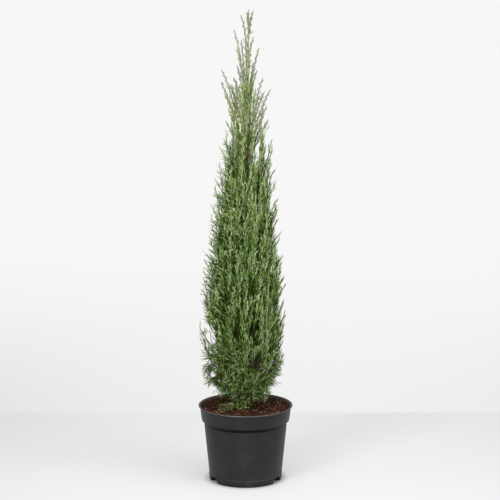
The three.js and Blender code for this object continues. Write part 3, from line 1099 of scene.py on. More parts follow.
# Soil
@dataclass
class SoilBed:
    """The peat that fills the pot, with loose crumbs and fibres on it."""

    edge_height: float = 144.6
    mound: float = 2.6
    bank: float = 4.2
    bank_from: float = 56.0
    edge_radius: float = 89.3
    depth: float = 18.0
    foot_inset: float = 2.6
    sink: float = 0.6
    rings: int = 40
    sides: int = 150
    lump: float = 2.2
    lump_scale: float = 0.055
    lump_fade: float = 10.0
    crumbs: int = 2600
    crumb_shares: Triple = (0.5, 0.4, 0.1)
    fibres: int = 420
    fibre_sides: int = 4
    fibre_shares: Triple = (0.35, 0.4, 0.25)
    seed: int = 5
    bed: Peat = Peat("peat_bed", (0.014, 0.0051, 0.0022), (0.060, 0.0215, 0.0092))
    crumb: tuple[Peat, ...] = (
        Peat("peat_dark", (0.012, 0.0055, 0.004), (0.034, 0.015, 0.010)),
        Peat("peat_red", (0.039, 0.0142, 0.007), (0.098, 0.037, 0.0175)),
        Peat("peat_pale", (0.110, 0.060, 0.038), (0.240, 0.140, 0.092)),
    )

    def top(self, x: float, y: float) -> float:
        """The height of the lumpy surface at a place.

        Args:
            x: The place along X.
            y: The place along Y.

        Returns:
            The height.
        """
        radius = math.hypot(x, y)
        mound = self.mound * max(0.0, 1 - (radius / self.edge_radius) ** 2)
        mound += self.bank * max(0.0, (radius - self.bank_from) / (self.edge_radius - self.bank_from)) ** 2
        place = Vector((x, y, 0.0))
        lump = noise.fractal(place * self.lump_scale, 0.9, 2.1, 4) * self.lump
        lump *= min(1.0, (self.edge_radius - radius) / self.lump_fade + 0.25)
        return self.edge_height + mound + lump - self.sink

    def build(self) -> list[Piece]:
        """Builds the bed, then its crumbs and fibres.

        Returns:
            The finished pieces.
        """
        reach = self.edge_radius
        section = [(reach * k / self.rings, 0.0) for k in range(self.rings + 1)]
        section += [(reach - self.foot_inset, -self.depth), (0.0, -self.depth)]
        shape = spun(section, self.sides)
        for corner in shape.verts:
            buried = corner.co.z < -1
            corner.co.z = self.edge_height - self.depth if buried else self.top(corner.co.x, corner.co.y)
        bed = ride(from_bmesh("soil_bed", shape, [self.bed.material()]), ["soil"])
        finishes = [f.material() for f in self.crumb]
        return [bed, self.build_crumbs(finishes), self.build_fibres(finishes)]

    def scatter(self, random: np.random.Generator, count: int, margin: float) -> Array:
        """Even places on the bed.

        Args:
            random: The seeded source.
            count: How many.
            margin: How far they stay from the wall.

        Returns:
            Points on the surface.
        """
        radius = (self.edge_radius - margin) * np.sqrt(random.random(count))
        turn = 2 * np.pi * random.random(count)
        flat = np.stack([radius * np.cos(turn), radius * np.sin(turn)], axis=1)
        return np.array([(x, y, self.top(x, y)) for x, y in flat])

    def build_crumbs(self, finishes: Sequence[Material]) -> Piece:
        """Scatters irregular crumbs over the bed.

        Args:
            finishes: The crumbs' materials.

        Returns:
            The finished piece.
        """
        random = np.random.default_rng(self.seed)
        seedling = bmesh.new()
        bmesh.ops.create_icosphere(seedling, subdivisions=1, radius=1.0)
        seedling.verts.ensure_lookup_table()
        ball = np.array([v.co for v in seedling.verts])
        faces = np.array([[v.index for v in f.verts] for f in seedling.faces])
        seedling.free()
        places = self.scatter(random, self.crumbs, 3.0)
        size = 0.6 + 1.8 * random.random(self.crumbs) ** 2.6
        shape = size[:, None] * (0.55 + 0.75 * random.random((self.crumbs, 3)))
        spin = unit(random.normal(size=(self.crumbs, 4)))
        rough = 1 + 0.5 * (random.random((self.crumbs, len(ball))) - 0.5)
        local = ball[None] * rough[..., None] * shape[:, None]
        w, v = spin[:, :1, None], spin[:, None, 1:]
        cross = np.cross(np.broadcast_to(v, local.shape), local)
        turned = local + 2 * (w * cross + np.cross(np.broadcast_to(v, local.shape), cross))
        points = turned + (places + 0.35 * size[:, None] * UP)[:, None]
        each = faces[None] + (len(ball) * np.arange(self.crumbs))[:, None, None]
        tone = random.choice(len(finishes), self.crumbs, p=self.crumb_shares)
        heap = Heap([(points.reshape(-1, 3), each.reshape(-1, 3), np.repeat(tone, len(faces)))])
        return ride(heap.piece("soil_crumbs", finishes))

    def build_fibres(self, finishes: Sequence[Material]) -> Piece:
        """Lays short fibres and bark slivers on the bed.

        Args:
            finishes: The fibres' materials.

        Returns:
            The finished piece.
        """
        random = np.random.default_rng(self.seed + 1)
        places = self.scatter(random, self.fibres, 9.0) + 0.8 * UP
        turn = 2 * np.pi * random.random(self.fibres)
        tilt = 0.35 * random.normal(size=self.fibres)
        heading = np.stack([np.cos(turn), np.sin(turn), tilt], axis=1)
        length = (2.5 + 6.5 * random.random(self.fibres) ** 1.5)[:, None]
        bend = random.normal(size=(self.fibres, 3)) * 0.12 * length
        half = heading * length / 2
        points = np.stack([places - half, places + bend, places + half], axis=1)
        zero = np.zeros(self.fibres, dtype=int)
        strands = Strands(points, np.tile(UP, (self.fibres, 1)), zero, zero)
        radius = (0.25 + 0.35 * random.random(self.fibres))[:, None] * np.ones((1, 3))
        corners, faces = tubes(strands, radius, self.fibre_sides)
        tone = random.choice(len(finishes), self.fibres, p=self.fibre_shares)
        heap = Heap([(corners, faces, np.repeat(tone, len(faces) // self.fibres))])
        return ride(heap.piece("soil_fibres", finishes))


# Trunk and boughs
@dataclass
class Wood:
    """The trunk and the boughs, each a ring drawn along its curve with the bark's relief."""

    growth: Growth
    bough_foot_radius: float = 2.9
    bough_tip_radius: float = 1.9
    collar: float = 1.5
    trunk_rings: int = 130
    trunk_sides: int = 22
    trunk_sunk: float = 3.0
    bough_rings: int = 18
    bough_sides: int = 10
    relief: float = 0.16
    grain_round: float = 2.2
    grain_along: float = 0.035
    bark: Bark = Bark("bark", (0.075, 0.040, 0.025), (0.165, 0.095, 0.058), (0.30, 0.20, 0.135))

    def roughen(self, ring: list[bmesh.types.BMVert], middle: Vector, radius: float, twist: float) -> None:
        """Gives one ring of a limb the bark's relief.

        Args:
            ring: Its corners.
            middle: Its middle.
            radius: Its radius.
            twist: Where the bark's pattern starts.
        """
        for corner in ring:
            out = corner.co - middle
            x, y = (part / radius * self.grain_round for part in out.xy)
            grain = Vector((x + twist, y, corner.co.z * self.grain_along))
            corner.co = middle + out * (1 + noise.fractal(grain, 0.8, 2.3, 3) * self.relief)

    def limb(self, shape: Shape, points: Array, radii: Array, sides: int, twist: float) -> None:
        """Draws a ring along a curve and roughens it.

        Args:
            shape: The bmesh that takes the limb.
            points: The curve.
            radii: The radius at each of its points.
            sides: The number of sides.
            twist: Where the bark's pattern starts.
        """
        ring = bmesh.ops.create_circle(shape, cap_ends=False, segments=sides, radius=1.0)["verts"]
        edges = list({e for v in ring for e in v.link_edges})
        bmesh.ops.edgeloop_fill(shape, edges=edges)
        headings = unit(np.gradient(points, axis=0))
        before = Matrix.Identity(4)
        for k, (point, radius, heading) in enumerate(zip(points, radii, headings)):
            turn = Vector((0, 0, 1)).rotation_difference(Vector(heading)).to_matrix().to_4x4()
            here = Matrix.Translation(Vector(point)) @ turn @ Matrix.Diagonal((radius, radius, 1, 1))
            if k:
                drawn = bmesh.ops.extrude_edge_only(shape, edges=edges)["geom"]
                ring = [g for g in drawn if isinstance(g, bmesh.types.BMVert)]
                edges = [g for g in drawn if isinstance(g, bmesh.types.BMEdge)]
            bmesh.ops.transform(shape, matrix=here @ before.inverted(), verts=ring)
            before = here
            if 0 < k < len(points) - 1:
                self.roughen(ring, Vector(point), radius, twist)
        bmesh.ops.edgeloop_fill(shape, edges=edges)

    def build(self) -> list[Piece]:
        """Builds the trunk, then the boughs as one piece.

        Returns:
            The finished pieces.
        """
        material = self.bark.material()
        rule = self.growth
        share = np.linspace(0, 1, self.trunk_rings) ** 1.15
        heights = mix(rule.soil_top - self.trunk_sunk, rule.trunk_top, share)
        trunk = bmesh.new()
        self.limb(trunk, rule.trunk_points(heights), rule.trunk_radius(heights), self.trunk_sides, 0.0)
        bmesh.ops.recalc_face_normals(trunk, faces=trunk.faces)
        pieces = [ride(from_bmesh("trunk_bark", trunk, [material]), ["trunk"])]
        boughs = bmesh.new()
        names = []
        for space in rule.spaces():
            if rule.has_bough(space):
                names.append(f"bough_{space.index + 1}")
                start = Spot(space.middle, 0.0, space.bearing)
                curve = rule.curve(start, rule.stem_start(space), self.bough_rings)
                s = np.linspace(0, 1, self.bough_rings)
                radii = mix(self.bough_foot_radius, self.bough_tip_radius, s) + self.collar * np.exp(-s * 9)
                self.limb(boughs, curve, radii, self.bough_sides, 7.3 * (space.index + 1))
        bmesh.ops.recalc_face_normals(boughs, faces=boughs.faces)
        pieces.append(ride(from_bmesh("boughs_bark", boughs, [material]), names))
        return pieces


# Foliage
@dataclass(frozen=True)
class Scale:
    """The leaves on a shoot: pairs of small folded kites set crosswise."""

    length: float = 3.7
    width: float = 1.0
    angle: float = 0.2
    fold: float = 0.2
    spacing: float = 2.65

    def dress(
        self, shoots: Strands, core: float, random: np.random.Generator, size: float | Array
    ) -> tuple[Array, Array, Array]:
        """Sets leaves along shoots.

        Args:
            shoots: The shoots.
            core: The radius of a shoot under its leaves.
            random: The seeded source.
            size: How large the leaves are, 1 for their usual size, for all shoots or for each.

        Returns:
            Corner points, triangles and the shoot of each triangle.
        """
        pairs = np.maximum(2, np.round(shoots.lengths() / self.spacing)).astype(int)
        shoot, number = spread(pairs)
        shoot, number = np.repeat(shoot, 2), np.repeat(number, 2)
        facing = np.tile((0.0, np.pi), len(number) // 2)
        start = 2 * np.pi * random.random(len(shoots))
        share = (number + 0.3) / pairs[shoot]
        place, heading = shoots.at(shoot, share)
        side, outward = shoots.sides(shoot, heading)
        turn = start[shoot] + number * np.pi / 2 + facing + 0.25 * random.normal(size=len(shoot))
        out = np.cos(turn)[:, None] * side + np.sin(turn)[:, None] * outward
        wide = np.cross(heading, out)
        size = np.broadcast_to(size, len(shoots))[shoot]
        scale = (size * mix(1.0, 0.72, share) * (0.85 + 0.3 * random.random(len(shoot))))[:, None]
        lean = (self.angle * (0.75 + 0.5 * random.random(len(shoot))))[:, None]
        ahead = heading * np.cos(lean) + out * np.sin(lean)
        root = place + out * core * 0.4
        belly = root + ahead * self.length * scale * 0.42 - out * self.fold * scale
        wing = wide * self.width * scale / 2
        tip = root + ahead * self.length * scale
        points = np.stack([root, belly - wing, belly + wing, tip], axis=1)
        one = np.array(((0, 1, 3), (0, 3, 2)))
        faces = one[None] + (4 * np.arange(len(shoot)))[:, None, None]
        return points.reshape(-1, 3), faces.reshape(-1, 3), np.repeat(shoot, 2)


@dataclass
class Foliage:
    """The masses: plumes on each stem, feathers on the plumes and leafy shoots on the feathers."""

    growth: Growth
    seed: int = 40
    climber_reach: Pair = (0.72, 1.0)
    climbers_low: float = 19.0
    climbers_high: float = 12.5
    climber_spread: float = 0.94
    climb: float = 0.085
    fork_reach: float = 0.11
    fork_bare: float = 0.05
    climber_bare: float = 0.16
    bough_bare: float = 0.2
    base_bare: float = 0.1
    edge_bare: float = 0.2
    droop_bare: float = 0.3
    feather_spacing: float = 7.0
    feather_length: float = 38.0
    feather_angle: Pair = (0.28, 0.44)
    feather_lift: float = 0.14
    shoot_spacing: float = 3.6
    shoot_length: float = 11.2
    shoot_angle: float = 0.48
    core: float = 0.5
    low_lift: float = -0.22
    # Heights from where a share is 0 to where it is 1
    low_sprays: Pair = (300.0, 180.0)
    upper_crown: Pair = (540.0, 760.0)
    spire_band: Pair = (670.0, 750.0)
    foot_band: Pair = (218.0, 188.0)
    shade_band: Pair = (480.0, 300.0)
    thin_band: Pair = (640.0, 755.0)
    # Heights between which a plume that crosses an opening is left out
    sky_band: Pair = (268.0, 400.0)
    # Hollows without sprays: x, y, z and radius
    pockets: tuple[Quad, ...] = (
        (-5, -78, 398, 12), (15, -76, 318, 16), (-18, -76, 312, 16), (-8, -78, 343, 12), (25, -67, 251, 24),
        (16, -61, 321, 12), (-19, -61, 315, 12), (24, -49, 249, 14), (4, -70, 470, 12), (-22, -66, 500, 12),
        (20, -66, 520, 13), (-2, -60, 590, 11), (-60, 30, 215, 18), (50, 55, 230, 20), (-20, 72, 300, 16),
        (30, 66, 420, 14), (-40, 50, 480, 14),
    )
    # Gaps that show the sky: x, z and radius
    openings: tuple[Triple, ...] = (
        (-62, 261, 6.5), (-72, 241, 6.5), (-56, 232, 6.5), (-64, 216, 7), (-50, 205, 7), (-74, 286, 5),
        (-34, 189, 7), (-69, 309, 9), (-67, 296, 10), (-64, 284, 8), (-60, 186, 7), (52, 265, 6),
        (56, 241, 5.5), (45, 222, 6.5), (33, 212, 5.5), (64, 203, 8), (60, 186, 9), (38, 703, 6.5),
        (41, 690, 6), (-33, 706, 6), (-30, 694, 6), (34, 742, 4), (-32, 742, 4),
    )
    # Tips of plumes at the back: x, y and z
    back_tips: tuple[Triple, ...] = (
        (-4, 40, 676), (3, 42, 645), (-9, 42, 652), (5, 35, 702), (-3, 30, 722), (-5, 45, 622),
    )
    pocket_ragged: float = 0.3
    opening_ragged: float = 0.2
    opening_fall: float = -0.25
    thin_share: float = 0.16
    left_gaps: float = 0.5
    wobble: float = 4.0
    bend: Pair = (0.06, 0.26)
    spare: Pair = (-17.0, -1.5)
    edge_spare: float = 4.0
    edge_slim: float = 0.62
    upper_light: float = 0.8
    spire_light: float = 0.4
    foot_light: float = 0.75
    spire_green: float = 752.0
    tone_spread: float = 6.5
    # Depths up to which sprays take the fresh and pale greens, part their own colour and part painted light,
    # and from which the deep and shade greens, painted shade
    tone_depths: Quad = (5.0, 4.5, 6.4, 11.2)
    mid_up_to: float = 0.22
    fresh_from: float = 0.57
    pale_from: float = 0.85
    # Shares of FRESH, MID, BLUE and OLIVE among the plumes
    leading_shares: Quad = (0.07, 0.57, 0.21, 0.15)
    low_blue: float = 0.75
    blue_aside: float = 40.0
    blue_least: float = 0.2
    # Shares of TIP, PALE, MID and OLIVE in the spire and at its foot
    spire_shares: Quad = (0.93, 0.04, 0.0, 0.03)
    spire_foot_shares: Quad = (0.6, 0.07, 0.19, 0.14)
    low_shade: float = 2.7
    rib_rise: float = 1.5
    rib_size: float = 1.15
    end_gaps: float = 0.4
    end_depth: float = 11.0
    low_size: float = 0.8
    leader_size: float = 1.7
    leader_rib_size: float = 2.3
    leader_rib_rounds: int = 3
    scale: Scale = Scale()
    inner_scale: Scale = Scale(length=5.4, width=1.9, angle=0.36, spacing=3.9)
    inner_depth: float = 0.74
    inner_spacing: float = 1.35
    trunk_sprigs: int = 170
    base_plumes: int = 36
    base_shares: Pair = (0.006, 0.12)
    base_angles: Pair = (0.3, 0.65)
    base_lengths: Pair = (70.0, 125.0)
    edge_depth: float = 14.0
    edge_rise: float = 78.0
    # Tips of plumes at the two sides: x and z
    edge_tips: tuple[Pair, ...] = (
        (-85, 450), (-89, 387), (-94, 364), (-91, 312), (-75, 484), (-69, 540), (-66, 561), (-58, 592),
        (-53, 630), (-52, 648), (-80, 418), (-88, 300), (79, 396), (81, 317), (78, 342), (76, 438),
        (78, 417), (70, 452), (64, 582), (66, 532), (58, 641), (52, 688), (68, 488), (62, 563), (64, 548),
        (-48, 682), (-59, 614), (-63, 579), (-71, 520), (-72, 501), (-81, 470), (-83, 433), (-85, 399),
        (-88, 286), (46, 715), (54, 682), (60, 618), (66, 512), (70, 464), (79, 362), (76, 276), (74, 255),
    )
    droop_sag: float = 13.0
    # Tips of the hanging low sprays: x, y and z
    droops: tuple[Triple, ...] = (
        (-78, -8, 194), (-66, -20, 184), (-53, -30, 186), (-85, 5, 232), (-79, 10, 213), (-70, 25, 190),
        (-60, -38, 197), (-75, -22, 206), (64, -10, 197), (52, -20, 178), (66, 12, 219), (68, -12, 238),
        (50, 28, 184), (58, -30, 205), (-30, 62, 190), (0, 70, 195), (30, 60, 190), (-55, 45, 197),
        (-25, -56, 198), (10, -60, 202), (35, -50, 194), (62, 34, 214), (-40, 66, 216), (44, 56, 210),
        (40, -28, 174), (30, -36, 171), (19, -42, 172), (46, 2, 174), (8, -38, 168), (-28, -36, 178),
        (-60, 4, 188), (-70, -4, 201), (-82, -6, 222), (-44, -14, 186), (36, -16, 170),
    )
    ground_up_to: float = 190.0
    ground_depth: Pair = (-4.0, 11.0)
    ground_olive: Pair = (0.15, 0.75)
    # Sprigs by the soil: bearing, length and lean
    ground_sprigs: tuple[Triple, ...] = (
        (3.78, 58, 1.56), (3.95, 60, 1.6), (4.1, 50, 1.52), (3.6, 48, 1.42), (4.2, 52, 0.5),
        (4.5, 24, 1.65), (4.7, 22, 1.75), (4.95, 24, 1.6), (5.2, 24, 1.7), (4.2, 22, 1.6), (4.6, 18, 1.3),
        (4.85, 18, 1.35), (5.1, 20, 1.3), (4.35, 20, 1.35), (5.45, 24, 1.4), (3.7, 54, 1.44),
        (3.86, 57, 1.5), (4.7, 46, 0.35), (5.2, 52, 0.55), (3.7, 48, 0.7), (5.7, 50, 0.75), (0.1, 46, 0.6),
        (0.8, 50, 0.6), (1.6, 48, 0.6), (2.4, 50, 0.6), (3.1, 44, 0.6), (4.5, 40, 0.8), (5, 42, 0.85),
        (4, 42, 0.9), (5.4, 40, 0.3), (4.35, 38, 0.25), (3.4, 36, 0.35), (4.6, 36, 1.35), (5.1, 34, 1.2),
        (4.25, 30, 1.2), (4.55, 40, 0.55), (4.8, 38, 0.7), (4.1, 46, 0.75), (5.3, 46, 0.8), (3.9, 44, 0.45),
        (4.9, 30, 1), (4.4, 30, 0.95), (5.6, 52, 1), (5.9, 56, 0.95), (5.75, 44, 0.6), (4.15, 34, 1.15),
        (4.75, 28, 1.15), (5.05, 46, 0.5), (4.3, 48, 0.6), (4.65, 50, 0.5), (3.75, 40, 1), (5.5, 36, 1.05),
        (4.85, 32, 1.45), (4.45, 34, 1.4), (5.4, 32, 1.2), (4, 34, 1.3), (5.75, 36, 0.9), (0.3, 36, 0.9),
        (1.2, 44, 1.2), (2.2, 46, 1.2), (2.9, 34, 0.8),
    )
    # Shoots of the spire: heights of foot and tip, reach aside, turn and how early they swing out
    spire: tuple[tuple[float, ...], ...] = (
        (912, 936, 3, 0.9, 0.6), (900, 927, 9.5, -0.8, 0.5), (893, 938, 14.4, 0.1, 0.5),
        (870, 929, -7.4, 0.35, 0.5), (765, 901, -20.7, -0.25, 0.5), (798, 866, -15.8, 0.5, 0.75),
        (769, 831, -15.4, 0.3, 0.75), (808, 882, -7.5, -0.4, 0.9), (823, 887, 14.2, -0.3, 0.4),
        (769, 866, 25.4, 0.15, 0.6), (779, 837, 15, 0.4, 0.8), (765, 823, 21.5, -0.4, 0.7),
        (734, 823, -44.6, 0.1, 0.8), (728, 800, -45.8, -0.1, 0.85), (730, 794, -29.5, 0.4, 0.8),
        (719, 778, -38.9, -0.4, 0.85), (750, 811, -21.3, -0.9, 0.7), (730, 786, -19.3, 0.9, 0.7),
        (736, 808, 32.6, -0.2, 0.8), (717, 785, 46.9, 0.05, 0.8), (719, 779, 35.6, 0.5, 0.8),
        (701, 754, 39.9, -0.3, 0.85), (691, 744, -32, 0.5, 0.85), (672, 724, -36, -0.3, 0.85),
        (672, 725, 42.4, 0.2, 0.85), (800, 872, 4, -1.5, 0.8), (812, 880, 2, 1.5, 0.8),
        (725, 790, -26, 0.9, 0.8), (716, 776, 26, -1, 0.8), (690, 750, 8, 1.3, 0.8),
        (684, 744, -12, 1.25, 0.8), (660, 724, 18, 1.1, 0.8), (664, 728, -20, 1.1, 0.8),
        (655, 712, 4, 1.45, 0.8), (672, 738, -3, 1.5, 0.8),
    )
    # The crown's underside on each side: radius and height
    skirt_left: tuple[Pair, ...] = ((10, 147), (19, 151), (25, 175), (58, 178), (73, 192))
    skirt_right: tuple[Pair, ...] = ((19, 147), (28, 154), (41, 165), (58, 177), (69, 196))
    skirt_ragged: float = 4.0
    skirt_tilt: float = 0.25
    foot_reach: float = 14.0
    foot_height: float = 149.0
    lowest_leaf: float = 147.5
    reach_margin: float = 9.0
    rim_reach: float = 97.0
    limit: int = 190000
    twig_bark: Bark = Bark("twig_bark", (0.032, 0.019, 0.010), (0.062, 0.038, 0.021), (0.11, 0.072, 0.042))
    young_bark: Bark = Bark("young_bark", (0.07, 0.08, 0.022), (0.13, 0.15, 0.045), (0.20, 0.22, 0.08))

    def __post_init__(self) -> None:
        """Starts the seeded source."""
        self.random = np.random.default_rng(self.seed)
        self.ends = np.zeros(1)
        self.sag = np.zeros(1)
        self.slim = np.ones(1)

    def even(self, count: int, low: float, high: float) -> Array:
        """Even random numbers between two ends."""
        return low + (high - low) * self.random.random(count)

    def of_plume(self, values: Array, strands: Strands) -> Array:
        """The value of each stem's plume, the last one where it has no plume."""
        return values[np.minimum(strands.tone, len(values) - 1)]

    def underside(self, points: Array) -> Array:
        """The crown's underside at points.

        Args:
            points: The points, in any arrangement.

        Returns:
            Its height at each.
        """
        x = points[..., 0] - self.growth.trunk_axis(points[..., 2])
        radius = np.hypot(x, points[..., 1])
        left, right = (np.interp(radius, *zip(*side)) for side in (self.skirt_left, self.skirt_right))
        skirt = mix(left, right, 0.5 + 0.5 * x / np.maximum(radius, 1))
        skirt += self.skirt_tilt * np.abs(points[..., 1])
        return np.where(radius < self.foot_reach, self.foot_height, skirt)

    def within_reach(self, strands: Strands) -> Array:
        """Which stems keep to the crown's reach.

        Args:
            strands: The stems.

        Returns:
            A mask of those whose tips are in the outline and clear of soil and trunk.
        """
        rule = self.growth
        tip = strands.points[:, -1]
        radius = rule.from_trunk(tip)
        inside = radius < rule.radius(tip[:, 2]) + self.reach_margin
        wide = np.abs(tip[:, :2]).max(axis=1) < self.rim_reach
        clear = radius > rule.trunk_radius(tip[:, 2]) + 1
        skirt = self.underside(tip) - self.of_plume(self.sag, strands)
        ragged = self.skirt_ragged * self.random.normal(size=len(tip))
        skirt += np.where(radius < self.foot_reach, 0, ragged)
        return inside & wide & clear & (tip[:, 2] > skirt) & (tip[:, 2] < rule.crown_top + 4)

    def trim(self, strands: Strands) -> Array:
        """Shortens the stems that would leave the crown's outline.

        Args:
            strands: The stems, which are changed in place.

        Returns:
            A mask of those that are still long enough.
        """
        rule = self.growth
        root, tip = strands.points[:, 0], strands.points[:, -1]
        near, far = rule.from_trunk(root), rule.from_trunk(tip)
        limit = rule.radius(tip[:, 2]) + self.even(len(strands), -1.0, 3.0)
        limit += self.of_plume(self.ends, strands)
        share = np.where(far > limit, (limit - near) / np.maximum(far - near, 1e-6), 1.0)
        foot = root[:, None]
        strands.points = foot + (strands.points - foot) * np.clip(share, 0, 1)[:, None, None]
        return share > 0.4

    def low_share(self, heights: Array) -> Array:
        """How far into the loose low sprays heights are, 0 above them and 1 at the soil."""
        return between(heights, *self.low_sprays)

    def climbers(self, space: Space) -> list[tuple[Spot, Spot]]:
        """The finer plumes of a mass, which climb from near the trunk to fill its space.

        Args:
            space: The mass's space.

        Returns:
            Pairs of root and end.
        """
        rule = self.growth
        random = Seeded(self.seed + space.index)
        size = rule.radius(rule.outer_height(space.middle)) / rule.crown_radius
        count = round(float(mix(self.climbers_high, self.climbers_low, size)))
        shift, reach_shift = random(), random()
        found = []
        for k in range(count):
            offset = space.half_angle * self.climber_spread * (2 * ((EVEN_STEP * k + shift) % 1) - 1)
            layer = mix(*rule.layers(space, offset), (k + random()) / count)
            reach = mix(*self.climber_reach, ((SECOND_STEP * k + reach_shift) % 1) ** 0.65)
            reach *= 1 - self.bend[1] * max(0.0, -math.cos(space.bearing + offset))
            end = Spot(layer, reach, space.bearing + offset, rule.tip_length * (0.4 + random()))
            root = Spot(max(0.0, layer - self.climb), 0.1 + 0.14 * random(), space.bearing + 0.7 * offset)
            found.append((root, end))
        return found

    def plume_axes(self) -> tuple[Strands, Array]:
        """The axis of every plume.

        Returns:
            The axes, and the share of each that is bare.
        """
        rule = self.growth
        points, across, mass, bare = [], [], [], []
        for space in rule.spaces():
            start = rule.stem_start(space)
            fork = Spot(space.middle, start.reach + self.fork_reach, space.bearing)
            pairs = [(fork, end, self.fork_bare) for end in rule.plume_ends(space)]
            pairs += [(root, end, self.climber_bare) for root, end in self.climbers(space)]
            if rule.has_bough(space):
                pairs.append((Spot(space.middle, 0.06, space.bearing), fork, self.bough_bare))
            for root, end, share in pairs:
                points.append(rule.curve(root, end, AXIS_STEPS))
                across.append((-math.sin(end.bearing), math.cos(end.bearing), 0.0))
                mass.append(space.index)
                bare.append(share)
        zero = np.zeros(len(mass), dtype=int)
        axes = Strands(np.array(points), np.array(across), zero, np.array(mass))
        outer = axes.points[:, 8:]
        kept = self.within_reach(axes) & (outer[..., 2] > self.underside(outer) - 4).all(axis=1)
        share = between(outer[:, -1, 2], *self.thin_band)
        kept &= self.random.random(len(axes)) < mix(1.0, self.thin_share, share)
        lowest, highest = self.sky_band
        for step in (15, 18, 21, 24):
            heights = axes.points[:, step, 2]
            kept &= ~self.in_opening(axes.points[:, step]) | (heights > highest) | (heights < lowest)
        base, edge, droops = self.base_axes(), self.edge_axes(), self.droop_axes()
        counts = (len(base), len(edge), len(droops))
        more = np.repeat((self.base_bare, self.edge_bare, self.droop_bare), counts)
        axes, bare = join([axes.pick(kept), base, edge, droops]), np.append(np.array(bare)[kept], more)
        axes.tone = np.arange(len(axes))
        share = np.linspace(0, 1, AXIS_STEPS)[None]
        start = 2 * np.pi * self.random.random((2, len(axes), 1))
        waves = self.even(len(axes), 0.7, 1.6)[:, None]
        for axis in (0, 1):
            sway = np.sin(2 * np.pi * waves * share + start[axis]) - np.sin(start[axis])
            axes.points[:, :, axis] += self.wobble * share * sway
        radial = np.cross(axes.across, UP)
        bend = axes.lengths() * mix(*self.bend, np.maximum(0, -radial[:, 0]))
        tip = axes.points[:, -1]
        room = rule.radius(tip[:, 2]) - rule.from_trunk(tip)
        listed = np.arange(len(axes)) >= len(axes) - len(edge) - len(droops)
        hangs = np.arange(len(axes)) >= len(axes) - len(droops)
        ends = np.where(listed, self.edge_spare, mix(*self.spare, self.random.random(len(axes)) ** 1.3))
        ends = np.where(hangs, self.reach_margin, ends)
        bend = np.where(listed, 0, np.minimum(bend, room + ends))
        self.ends, self.sag = np.append(ends, 0), np.append(self.droop_sag * hangs, 0)
        self.slim = np.where(listed & ~hangs, self.edge_slim, 1.0)
        axes.points += radial[:, None] * (bend[:, None] * share**2)[..., None]
        return axes, bare

    def trunk_line(self) -> Strands:
        """The trunk's middle line as one stem."""
        heights, zero = np.linspace(self.growth.soil_top, self.growth.trunk_top, 60), np.zeros(1, dtype=int)
        return Strands(self.growth.trunk_points(heights)[None], np.array([[1.0, 0.0, 0.0]]), zero, zero)

    def edge_axes(self) -> Strands:
        """Plumes that stand out pointed at the crown's two sides.

        Returns:
            Their axes, one to each listed tip.
        """
        x, z = np.array(self.edge_tips).T
        y = self.even(len(x), -self.edge_depth, self.edge_depth)
        x, y, z = np.append(np.stack([x, y, z]), np.array(self.back_tips).T, axis=1)
        out = x - self.growth.trunk_axis(z)
        elbow = np.where(out < 0, np.where(z < 330, 0.92, 0.72), 0.84)
        stops = [(0.4, self.edge_rise), (0.62, 56.0), (elbow, 34.0), (1.0, 0.0)]
        row = [np.stack([x - (1 - share) * out, y * share, z - drop], axis=1) for share, drop in stops]
        behind = y > 20
        across = np.stack([np.where(behind, -1, 0), np.where(behind, 0, np.sign(out)), 0 * x], axis=1)
        mass = self.nearest_mass(z - self.edge_rise)
        return Strands(arch(row, AXIS_STEPS), across, np.zeros(len(x), dtype=int), mass)

    def droop_axes(self) -> Strands:
        """The lowest sprays, which leave the trunk level, arch over and hang.

        Returns:
            Their axes, one to each listed tip.
        """
        tips = np.array(self.droops)
        flat = tips * (1, 1, 0) - (self.growth.foot_x, 0, 0)
        out = unit(flat)
        root = tips * (0, 0, 1) + (self.growth.foot_x, 0, 0) + 5 * out
        root += self.even(len(tips), 12, 26)[:, None] * UP
        elbow = mix(root, tips, 0.62) + 0.34 * np.linalg.norm(flat, axis=1)[:, None] * UP
        points = arch((root, elbow, tips), AXIS_STEPS)
        across = np.stack([-out[:, 1], out[:, 0], 0 * out[:, 0]], axis=1)
        return Strands(points, across, np.zeros(len(tips), dtype=int), self.nearest_mass(root[:, 2]))

    def base_axes(self) -> Strands:
        """Long low sprays that fan up and out from the trunk's foot.

        Returns:
            Their axes.
        """
        count = self.base_plumes
        number = np.arange(count)
        share = mix(*self.base_shares, (number + 0.5) / count)
        angle = mix(*self.base_angles, (number * SECOND_STEP) % 1)
        length = self.even(count, *self.base_lengths)
        zeros = np.zeros(count, dtype=int)
        made = self.trunk_line().sprout(
            zeros, share, angle, number * GOLDEN_ANGLE, length, curl=0.25, lift=0.0, steps=AXIS_STEPS
        )
        made.across = -made.across
        made.mass = self.nearest_mass(made.points[:, 0, 2])
        return made

    def stems(self) -> Strands:
        """The stem of every mass, from its bough's tip or the trunk to its fork.

        Returns:
            The stems, mass by mass.
        """
        rule = self.growth
        points, across, mass = [], [], []
        for space in rule.spaces():
            start = rule.stem_start(space)
            fork = Spot(space.middle, start.reach + 0.16, space.bearing)
            points.append(rule.curve(start, fork, 6))
            across.append((-math.sin(space.bearing), math.cos(space.bearing), 0.0))
            mass.append(space.index)
        zero = np.zeros(len(mass), dtype=int)
        return Strands(np.array(points), np.array(across), zero, np.array(mass))

